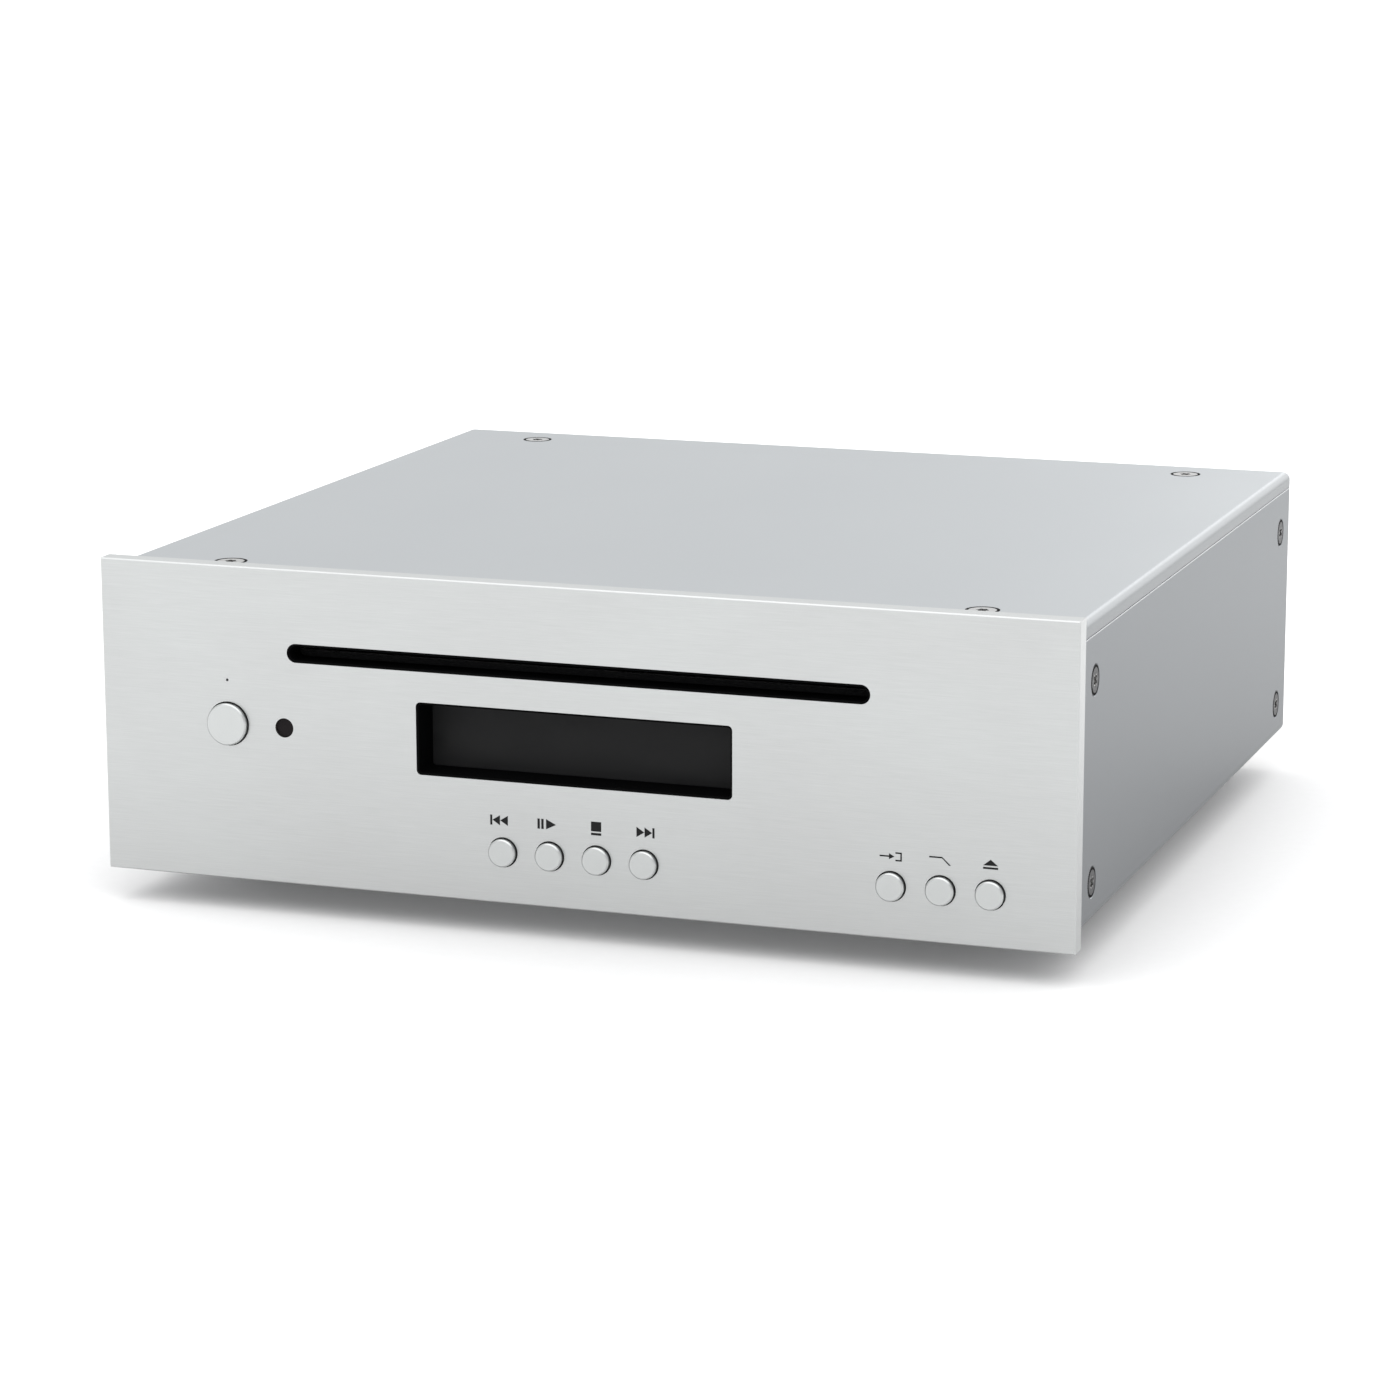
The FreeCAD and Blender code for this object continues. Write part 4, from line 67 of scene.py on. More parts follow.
class Axis(Enum):
    """The axis that a grain, a turning or a drawn outline runs along."""

    X = 0
    Y = 1
    Z = 2

    def unit(self) -> Vector:
        """The axis as a unit vector."""
        return Vector([1.0 if i == self.value else 0.0 for i in range(3)])

    def turn(self) -> Matrix:
        """The rotation that takes +Z to this axis."""
        return self.unit().to_track_quat("Z", "Y").to_matrix().to_4x4()


class Graph:
    """The node tree of one material, with short calls for what the finishes share."""

    def __init__(self, name: str) -> None:
        """Starts a material with a principled shader and object coordinates.

        Args:
            name: The material's name.
        """
        self.material = bpy.data.materials.new(name)
        self.material.use_nodes = True
        self.nodes = self.material.node_tree.nodes
        self.links = self.material.node_tree.links
        self.shader = self.nodes["Principled BSDF"]
        self.place = self.nodes.new("ShaderNodeTexCoord").outputs["Object"]

    def fixed(self, **values: float) -> None:
        """Sets constants on the shader's own sockets, named in lower case with underscores."""
        for key, value in values.items():
            self.shader.inputs[key.replace("_", " ").title().replace("Ior", "IOR")].default_value = value

    def tint(self, colour: Colour) -> None:
        """Sets a constant base colour."""
        self.shader.inputs["Base Color"].default_value = (*colour, 1.0)

    def mapped(self, per_mm: Point, centre: Point = ORIGIN) -> Socket:
        """Object coordinates about a centre, scaled on each axis.

        Args:
            per_mm: Cells for each millimetre along X, Y and Z.
            centre: The pattern's centre in millimetres.

        Returns:
            The vector socket of the mapped place.
        """
        scale = [value / MM for value in per_mm]
        node = self.nodes.new("ShaderNodeMapping")
        node.inputs["Scale"].default_value = scale
        node.inputs["Location"].default_value = [-c * MM * s for c, s in zip(centre, scale)]
        self.links.new(self.place, node.inputs["Vector"])
        return node.outputs["Vector"]

    def noise(self, per_mm: Point, detail: float = 2.0, rough: float = 0.5) -> Socket:
        """A noise value stretched on each axis.

        Args:
            per_mm: Cells for each millimetre along X, Y and Z.
            detail: Octaves.
            rough: How strong the finer octaves are.

        Returns:
            The noise's value socket.
        """
        node = self.nodes.new("ShaderNodeTexNoise")
        node.inputs["Scale"].default_value = 1.0
        node.inputs["Detail"].default_value = detail
        node.inputs["Roughness"].default_value = rough
        self.links.new(self.mapped(per_mm), node.inputs["Vector"])
        return node.outputs["Fac"]

    def cells(self, per_mm: Point) -> Socket:
        """The distance to the middle of the nearest cell of a random pattern.

        Args:
            per_mm: Cells for each millimetre along X, Y and Z.

        Returns:
            The distance socket.
        """
        node = self.nodes.new("ShaderNodeTexVoronoi")
        node.inputs["Scale"].default_value = 1.0
        self.links.new(self.mapped(per_mm), node.inputs["Vector"])
        return node.outputs["Distance"]

    def rings(self, centre: Point, axis: Axis, per_mm: float) -> Socket:
        """Random rings about a line, as a lathe leaves them.

        Args:
            centre: A point on the line.
            axis: The line's direction.
            per_mm: Rings for each millimetre of radius.

        Returns:
            The rings' value socket.
        """
        node = self.nodes.new("ShaderNodeTexNoise")
        node.noise_dimensions = "1D"
        node.inputs["Scale"].default_value = per_mm
        node.inputs["Detail"].default_value = 2.0
        self.links.new(self.reach(centre, axis), node.inputs["W"])
        return node.outputs["Fac"]

    def reach(self, centre: Point, axis: Axis) -> Socket:
        """The distance in millimetres from the line that runs through a centre along an axis."""
        return self.distance(tuple(0.0 if i == axis.value else 1.0 for i in range(3)), centre)

    def distance(self, keep: Point, centre: Point = ORIGIN) -> Socket:
        """The distance from a centre in millimetres, measured on some axes only.

        Args:
            keep: 1 for an axis that counts, 0 for one that doesn't.
            centre: The centre in millimetres.

        Returns:
            The distance's socket.
        """
        length = self.nodes.new("ShaderNodeVectorMath")
        length.operation = "LENGTH"
        self.links.new(self.mapped(keep, centre), length.inputs[0])
        return length.outputs["Value"]

    def span(self, value: Socket, low: float, high: float,
             start: float = 0.3, stop: float = 0.7) -> Socket:
        """Maps a value onto a range.

        Args:
            value: The value to map.
            low: The result at start.
            high: The result at stop.
            start: The value that gives low.
            stop: The value that gives high.

        Returns:
            The mapped value's socket.
        """
        node = self.nodes.new("ShaderNodeMapRange")
        for name, number in zip(RANGE_ENDS, (start, stop, low, high)):
            node.inputs[name].default_value = number
        self.links.new(value, node.inputs["Value"])
        return node.outputs["Result"]

    def blend(self, value: Socket, low: Colour, high: Colour,
              start: float = 0.3, stop: float = 0.7) -> Socket:
        """A colour between two colours.

        Args:
            value: What drives the change.
            low: The colour at start.
            high: The colour at stop.
            start: The value that gives low.
            stop: The value that gives high.

        Returns:
            The colour socket.
        """
        node = self.nodes.new("ShaderNodeValToRGB")
        ramp = node.color_ramp
        ramp.elements[0].position, ramp.elements[1].position = start, stop
        ramp.elements[0].color, ramp.elements[1].color = (*low, 1.0), (*high, 1.0)
        self.links.new(value, node.inputs["Fac"])
        return node.outputs["Color"]

    def times(self, first: Socket, second: Socket) -> Socket:
        """Multiplies one colour by another.

        Args:
            first: A colour.
            second: A colour, or a value for all three of its parts.

        Returns:
            The product's socket.
        """
        node = self.nodes.new("ShaderNodeMix")
        node.data_type, node.blend_type = "RGBA", "MULTIPLY"
        node.inputs[0].default_value = 1.0
        self.links.new(first, node.inputs[MIX_FIRST])
        self.links.new(second, node.inputs[MIX_SECOND])
        return node.outputs[MIX_RESULT]

    def bump(self, height: Socket, depth: float, strength: float, below: Socket | None = None) -> Socket:
        """Relief from a height.

        Args:
            height: The height, 0 to 1.
            depth: Its depth in millimetres.
            strength: How much of it shows.
            below: An earlier relief that this one adds to.

        Returns:
            The normal socket, which is also linked to the shader.
        """
        node = self.nodes.new("ShaderNodeBump")
        node.inputs["Distance"].default_value = depth * MM
        node.inputs["Strength"].default_value = strength
        self.links.new(height, node.inputs["Height"])
        if below:
            self.links.new(below, node.inputs["Normal"])
        self.links.new(node.outputs["Normal"], self.shader.inputs["Normal"])
        return node.outputs["Normal"]

    def drive(self, socket: str, value: Socket) -> None:
        """Links a value to one of the shader's sockets."""
        self.links.new(value, self.shader.inputs[socket])


def scaled(colour: Colour, share: float) -> Colour:
    """A colour made darker or lighter."""
    return tuple(min(1.0, part * share) for part in colour)


def grey(level: float) -> Colour:
    """A neutral colour."""
    return (level, level, level)


def even(size: float) -> Point:
    """The cells for each millimetre of a pattern whose cells have one size in millimetres on every axis."""
    return (1.0 / size, 1.0 / size, 1.0 / size)


@dataclass(frozen=True)
class Finish:
    """A named finish that makes its material once.

    Attributes:
        name: The finish's name.
        colour: Its middle colour.
    """

    name: str
    colour: Colour

    def material(self) -> bpy.types.Material:
        """The finish's material, made on first use.

        Returns:
            The material.
        """
        found = bpy.data.materials.get("finish_" + self.name)
        if found:
            return found
        graph = Graph("finish_" + self.name)
        graph.tint(self.colour)
        self.build(graph)
        return graph.material

    def build(self, graph: Graph) -> None:
        """Adds the finish's own nodes; each kind of finish has its own."""
        raise NotImplementedError


@dataclass(frozen=True)
class Brushed(Finish):
    """Aluminium brushed along one axis.

    Attributes:
        axis: The direction of the scratches.
        pitch: Width of a scratch in millimetres.
        length: Length of a scratch in millimetres.
        rough: Roughness.
        spread: How far the roughness varies.
        shade: How far the scratches vary the colour.
    """

    axis: Axis = Axis.X
    pitch: float = 0.09
    length: float = 8.0
    rough: float = 0.34
    spread: float = 0.05
    shade: float = 0.06

    def build(self, graph: Graph) -> None:
        """Adds long fine scratches, a broad cloud and the relief.

        Args:
            graph: The material's node tree.
        """
        graph.fixed(metallic=1.0)
        across = 1.0 / self.pitch
        along = 1.0 / self.length
        line = tuple(along if i == self.axis.value else across for i in range(3))
        fine = tuple(along * 3 if i == self.axis.value else across * 2.6 for i in range(3))
        grain = graph.noise(line, detail=3.0, rough=0.6)
        hair = graph.noise(fine, detail=1.0)
        cloud = graph.noise((0.03, 0.03, 0.05))
        dark, light = scaled(self.colour, 1 - self.shade), scaled(self.colour, 1 + self.shade * 0.6)
        broad = graph.blend(cloud, (0.975, 0.968, 0.97), WHITE)
        graph.drive("Base Color", graph.times(graph.blend(grain, dark, light), broad))
        graph.drive("Roughness", graph.span(hair, self.rough - self.spread, self.rough + self.spread))
        graph.bump(hair, depth=0.004, strength=0.35, below=graph.bump(grain, depth=0.006, strength=0.35))


@dataclass(frozen=True)
class Blasted(Finish):
    """Aluminium blasted with fine beads and anodised.

    Attributes:
        bead: Size of a bead's mark in millimetres.
        rough: Roughness.
        spread: How far the roughness varies.
        shade: How far the beads vary the colour.
        edge: Tint at a glancing angle.
        roll: Distances from the middle, along X, over which the painted shade of a rolled side sets in.
        roll_painted_shade: How dark that painted shade leaves a rolled side against the flat.
    """

    bead: float = 0.14
    rough: float = 0.42
    spread: float = 0.008
    shade: float = 0.04
    edge: float = 1.0
    roll: Flat = (100.7, 101.5)
    roll_painted_shade: float = 1.0

    def build(self, graph: Graph) -> None:
        """Adds the bead marks, faint handling clouds, painted shade on the rolled sides where
        roll_painted_shade is below 1, and the relief.

        Args:
            graph: The material's node tree.
        """
        graph.fixed(metallic=1.0)
        graph.shader.inputs["Specular Tint"].default_value = (*grey(self.edge), 1.0)
        beads = graph.noise(even(self.bead), rough=0.65)
        cloud = graph.noise((0.02, 0.014, 0.03), detail=3.0, rough=0.55)
        dark, light = scaled(self.colour, 1 - self.shade), scaled(self.colour, 1 + self.shade * 0.5)
        broad = graph.blend(cloud, (0.965, 0.967, 0.972), WHITE)
        colour = graph.times(graph.blend(beads, dark, light), broad)
        # Painted shade: the rolled sides are made darker by their distance from the middle along X, for the
        # shade that falls on them.
        if self.roll_painted_shade < 1.0:
            from_middle = graph.distance((1.0, 0.0, 0.0))
            colour = graph.times(colour, graph.span(from_middle, 1.0, self.roll_painted_shade, *self.roll))
        graph.drive("Base Color", colour)
        graph.drive("Roughness", graph.span(cloud, self.rough - self.spread, self.rough + self.spread))
        graph.bump(beads, depth=0.012, strength=0.4)


@dataclass(frozen=True)
class Turned(Finish):
    """Metal turned on a lathe about one line.

    Attributes:
        centre: A point on the line, in millimetres.
        axis: The line's direction.
        rings: Rings for each millimetre of radius.
        rough: Roughness.
        spread: How far the roughness varies.
    """

    centre: Point = ORIGIN
    axis: Axis = Axis.Y
    rings: float = 9.0
    rough: float = 0.3
    spread: float = 0.015

    def build(self, graph: Graph) -> None:
        """Adds the fine rings that the tool leaves.

        Args:
            graph: The material's node tree.
        """
        graph.fixed(metallic=1.0)
        rings = graph.rings(self.centre, self.axis, self.rings)
        haze = graph.noise((0.3, 0.3, 0.3), detail=1.0)
        graph.drive("Base Color", graph.blend(rings, scaled(self.colour, 0.96), scaled(self.colour, 1.03)))
        graph.drive("Roughness", graph.span(haze, self.rough - self.spread, self.rough + self.spread))
        graph.bump(rings, depth=0.004, strength=0.3)


@dataclass(frozen=True)
class Plated(Finish):
    """Plated sheet metal with a faint spangle.

    Attributes:
        spangle: Size of a spangle in millimetres.
        rough: Roughness.
    """

    spangle: float = 3.5
    rough: float = 0.38

    def build(self, graph: Graph) -> None:
        """Adds spangles, rolling lines and stains.

        Args:
            graph: The material's node tree.
        """
        graph.fixed(metallic=1.0)
        cells = graph.cells(even(self.spangle))
        stain = graph.noise((0.08, 0.05, 0.08), detail=4.0, rough=0.6)
        rolled = graph.noise((8.0, 0.1, 8.0), rough=0.6)
        colour = graph.blend(cells, scaled(self.colour, 0.9), scaled(self.colour, 1.05), start=0.0, stop=0.9)
        graph.drive("Base Color", graph.times(colour, graph.blend(stain, (0.9, 0.89, 0.87), WHITE)))
        graph.drive("Roughness", graph.span(cells, self.rough - 0.06, self.rough + 0.1, start=0.0, stop=0.9))
        graph.bump(rolled, depth=0.006, strength=0.3)


@dataclass(frozen=True)
class Moulded(Finish):
    """Plastic with a fine moulded grain.

    Attributes:
        rough: Roughness.
        grain: Size of the grain in millimetres.
        depth: Depth of the grain in millimetres.
        coat: Weight of a clear coat.
        gloss: Level of the plain reflection.
    """

    rough: float = 0.45
    grain: float = 0.35
    depth: float = 0.02
    coat: float = 0.0
    gloss: float = 0.5

    def build(self, graph: Graph) -> None:
        """Adds the grain and slight flow marks.

        Args:
            graph: The material's node tree.
        """
        graph.fixed(coat_weight=self.coat, coat_roughness=0.08, specular_ior_level=self.gloss)
        grain = graph.noise(even(self.grain), detail=3.0, rough=0.6)
        flow = graph.noise((0.05, 0.09, 0.05))
        graph.drive("Base Color", graph.blend(flow, scaled(self.colour, 0.9), scaled(self.colour, 1.1)))
        graph.drive("Roughness", graph.span(grain, self.rough - 0.06, self.rough + 0.08))
        graph.bump(grain, self.depth, strength=0.5)


@dataclass(frozen=True)
class Rubber(Finish):
    """Soft rubber with a dusty bloom.

    Attributes:
        rough: Roughness.
    """

    rough: float = 0.78

    def build(self, graph: Graph) -> None:
        """Adds the bloom, the dust and a pitted surface.

        Args:
            graph: The material's node tree.
        """
        graph.fixed(sheen_weight=0.12, sheen_roughness=0.5)
        pits = graph.noise((3.5, 3.5, 3.5), detail=4.0, rough=0.7)
        dust = graph.noise((0.35, 0.35, 0.2), detail=3.0, rough=0.6)
        dusty = scaled(self.colour, 1.9)
        graph.drive("Base Color", graph.blend(dust, self.colour, dusty, start=0.35, stop=0.8))
        graph.drive("Roughness", graph.span(pits, self.rough - 0.1, self.rough + 0.1))
        graph.bump(pits, depth=0.04, strength=0.5)


@dataclass(frozen=True)
class Felt(Finish):
    """Pressed wool felt."""

    def build(self, graph: Graph) -> None:
        """Adds tangled fibres, their shade and a soft sheen.

        Args:
            graph: The material's node tree.
        """
        graph.fixed(sheen_weight=0.12, sheen_roughness=0.4, specular_ior_level=0.2)
        fibre = graph.noise((2.2, 9.0, 14.0), detail=5.0, rough=0.75)
        tuft = graph.noise((0.9, 0.9, 2.0))
        dark, light = scaled(self.colour, 0.45), scaled(self.colour, 1.7)
        colour = graph.blend(fibre, dark, light, start=0.25, stop=0.75)
        graph.drive("Base Color", graph.times(colour, graph.blend(tuft, grey(0.8), WHITE)))
        graph.drive("Roughness", graph.span(tuft, 0.85, 1.0))
        graph.bump(fibre, depth=0.12, strength=0.8)


@dataclass(frozen=True)
class Smoked(Finish):
    """Smoked clear plastic.

    Attributes:
        rough: Roughness.
        clear: Share of the light that passes.
        gloss: Level of the plain reflection.
        weave: Size of a cell of the fine screen in millimetres, or 0 for none.
    """

    rough: float = 0.06
    clear: float = 0.7
    gloss: float = 0.5
    weave: float = 0.0

    def build(self, graph: Graph) -> None:
        """Adds faint smears, and a fine screen where the finish has one.

        Args:
            graph: The material's node tree.
        """
        graph.fixed(transmission_weight=self.clear, ior=1.49, specular_ior_level=self.gloss)
        smear = graph.noise((0.06, 0.3, 0.15), detail=3.0, rough=0.6)
        graph.drive("Base Color", graph.blend(smear, scaled(self.colour, 0.9), scaled(self.colour, 1.1)))
        graph.drive("Roughness", graph.span(smear, self.rough * 0.7, self.rough * 1.5))
        if self.weave:
            graph.bump(graph.cells(even(self.weave)), depth=0.03, strength=0.6)


@dataclass(frozen=True)
class Ink(Finish):
    """Screen-printed ink.

    Attributes:
        rough: Roughness.
    """

    rough: float = 0.55

    def build(self, graph: Graph) -> None:
        """Adds the slight unevenness of a printed film.

        Args:
            graph: The material's node tree.
        """
        graph.fixed(specular_ior_level=0.2)
        film = graph.noise((4.0, 4.0, 4.0), detail=3.0, rough=0.6)
        graph.drive("Base Color", graph.blend(film, scaled(self.colour, 0.88), scaled(self.colour, 1.12)))
        graph.drive("Roughness", graph.span(film, self.rough - 0.08, self.rough + 0.08))
        graph.bump(film, depth=0.006, strength=0.3)


@dataclass(frozen=True)
class Laminate(Finish):
    """Circuit laminate under green lacquer, with copper tracks below it.

    Attributes:
        track: Colour over a track.
        upright: True for a board that stands, False for one that lies flat.
    """

    track: Colour = (0.03, 0.16, 0.07)
    upright: bool = False

    def build(self, graph: Graph) -> None:
        """Adds tracks along the board, pads and a glossy lacquer.

        Args:
            graph: The material's node tree.
        """
        graph.fixed(coat_weight=0.6, coat_roughness=0.18)
        runs = graph.noise((0.09, 0.05, 0.75) if self.upright else (0.09, 0.75, 0.05), detail=0.0)
        pads = graph.cells((0.42, 0.05, 0.42) if self.upright else (0.42, 0.42, 0.05))
        tracks = graph.blend(runs, self.track, self.colour, start=0.47, stop=0.5)
        dots = graph.blend(pads, (0.75, 0.72, 0.6), WHITE, start=0.1, stop=0.14)
        graph.drive("Base Color", graph.times(tracks, dots))
        graph.drive("Roughness", graph.span(runs, 0.32, 0.5))
        graph.bump(runs, depth=0.03, strength=0.5)


@dataclass(frozen=True)
class Paper(Finish):
    """The floor's pale paper, which glows faintly and has painted shade in the middle, darker near the
    player.

    Attributes:
        dark: Colour of its darker patches.
        floor_shade_reach: Where the painted shade in the middle starts to fade and where it ends, in
            millimetres.
        floor_shade_tone: How dark that painted shade is.
        glow: Light that comes up through the paper.
    """

    dark: Colour = grey(0.92)
    floor_shade_reach: Flat = (110.0, 360.0)
    floor_shade_tone: Colour = (0.77, 0.765, 0.765)
    glow: float = 0.1

    def build(self, graph: Graph) -> None:
        """Adds the patches, the painted shade in the middle, the glow and a slight tooth.

        Args:
            graph: The material's node tree.
        """
        paper = graph.noise((0.4, 0.4, 0.4), detail=3.0, rough=0.6)
        # Painted shade: the paper darkens towards the player, so the metal's lower faces reflect a darker
        # floor.
        fade = graph.span(graph.reach(ORIGIN, Axis.Z), 0.0, 1.0, *self.floor_shade_reach)
        floor_shade = graph.blend(fade, self.floor_shade_tone, WHITE, start=0.0, stop=1.0)
        graph.drive("Base Color", graph.times(graph.blend(paper, self.dark, self.colour), floor_shade))
        graph.drive("Roughness", graph.span(paper, 0.85, 0.95))
        graph.shader.inputs["Emission Color"].default_value = (*WHITE, 1.0)
        graph.fixed(emission_strength=self.glow)
        graph.bump(paper, depth=0.05, strength=0.2)


def section(inner: float, outer: float, low: float, high: float) -> list[Flat]:
    """The section of a washer: its radii, and where it starts and ends along its axis."""
    return [(inner, low), (outer, low), (outer, high), (inner, high)]


class Shape:
    """A mesh in the making, in millimetres."""

    def __init__(self) -> None:
        """Starts an empty mesh."""
        self.mesh = bmesh.new()

    def block(self, low: Point, high: Point) -> None:
        """Adds a box.

        Args:
            low: Its lowest corner.
            high: Its highest corner.
        """
        size = Vector(high) - Vector(low)
        middle = (Vector(high) + Vector(low)) / 2
        bmesh.ops.create_cube(self.mesh, size=1.0, matrix=Matrix.LocRotScale(middle, None, size))

    def lathe(self, centre: Point, axis: Axis, profile: list[Flat], segments: int = 48,
              ring: bool = False) -> None:
        """Turns a profile about an axis.

        Args:
            centre: The axis's start.
            axis: Its direction.
            profile: (radius, distance along the axis) points, in order.
            segments: Faces around.
            ring: True where the profile is a closed loop, False where it starts and ends on the axis.
        """
        place = Matrix.Translation(centre) @ axis.turn()
        angles = [2 * math.pi * i / segments for i in range(segments)]
        rows = []
        for radius, along in profile:
            if radius == 0:
                rows.append([self.mesh.verts.new(place @ Vector((0, 0, along)))] * segments)
                continue
            points = [Vector((radius * math.cos(a), radius * math.sin(a), along)) for a in angles]
            rows.append([self.mesh.verts.new(place @ point) for point in points])
        for first, second in zip(rows, rows[1:] + rows[:1] if ring else rows[1:]):
            for i in range(segments):
                j = (i + 1) % segments
                corners = []
                for vert in (first[i], first[j], second[j], second[i]):
                    if vert not in corners:
                        corners.append(vert)
                if len(corners) > 2:
                    self.mesh.faces.new(corners)

    def plate(self, outline: list[Flat], axis: Axis, start: float, stop: float) -> None:
        """Adds a flat plate with any outline.

        Args:
            outline: Its corners, in the two axes across it, in X, Y, Z order.
            axis: The axis through its thickness.
            start: Its face at the lower end of that axis.
            stop: Its other face.
        """
        sides = []
        for level in (start, stop):
            row = []
            for first, second in outline:
                place = [first, second]
                place.insert(axis.value, level)
                row.append(self.mesh.verts.new(place))
            sides.append(row)
        self.mesh.faces.new(sides[0])
        self.mesh.faces.new(reversed(sides[1]))
        count = len(outline)
        for i in range(count):
            j = (i + 1) % count
            self.mesh.faces.new((sides[0][j], sides[0][i], sides[1][i], sides[1][j]))

    def wire(self, path: list[Point], radius: float, sides: int) -> None:
        """Adds a round wire with closed ends.

        Args:
            path: The points along its middle.
            radius: The wire's radius.
            sides: Faces around it.
        """
        points = [Vector(p) for p in path]
        angles = [2 * math.pi * k / sides for k in range(sides)]
        # Any direction that no wire runs along.
        up = Vector((0.13, 0.31, 0.94)).normalized()
        rows = []
        for i, point in enumerate(points):
            heading = (points[min(i + 1, len(points) - 1)] - points[max(i - 1, 0)]).normalized()
            across = heading.cross(up).normalized()
            up = across.cross(heading).normalized()
            spokes = [across * math.cos(a) + up * math.sin(a) for a in angles]
            rows.append([self.mesh.verts.new(point + radius * spoke) for spoke in spokes])
        for first, second in zip(rows, rows[1:]):
            for k in range(sides):
                m = (k + 1) % sides
                self.mesh.faces.new((first[k], first[m], second[m], second[k]))
        self.mesh.faces.new(reversed(rows[0]))
        self.mesh.faces.new(rows[-1])

    def include(self, mesh: bpy.types.Mesh, place: Matrix) -> None:
        """Adds a copy of a finished mesh.

        Args:
            mesh: The mesh.
            place: The matrix that moves the copy, in millimetres.
        """
        copy = mesh.copy()
        copy.transform(place)
        self.mesh.from_mesh(copy)
        bpy.data.meshes.remove(copy)

    def finished(self, name: str, material: bpy.types.Material, smooth: float = 30.0) -> bpy.types.Object:
        """Turns the shape into an object at the origin, in metres.

        Args:
            name: The object's name.
            material: Its only material.
            smooth: Edges below this angle, in degrees, are shaded smooth.

        Returns:
            The object, linked to the scene.
        """
        bmesh.ops.recalc_face_normals(self.mesh, faces=self.mesh.faces)
        bmesh.ops.transform(self.mesh, matrix=Matrix.Scale(MM, 4), verts=self.mesh.verts)
        for face in self.mesh.faces:
            face.smooth = smooth > 0
            face.material_index = 0
        for edge in self.mesh.edges:
            if edge.is_manifold and edge.calc_face_angle(0.0) > math.radians(smooth):
                edge.smooth = False
        mesh = bpy.data.meshes.new(name)
        self.mesh.to_mesh(mesh)
        self.mesh.free()
        mesh.materials.clear()
        mesh.materials.append(material)
        made = bpy.data.objects.new(name, mesh)
        bpy.context.scene.collection.objects.link(made)
        return made


class Pattern(Enum):
    """How the repeats of a tree are laid out."""

    LINE = "line"
    RING = "ring"
    GRID = "grid"
    SCATTER = "scatter"


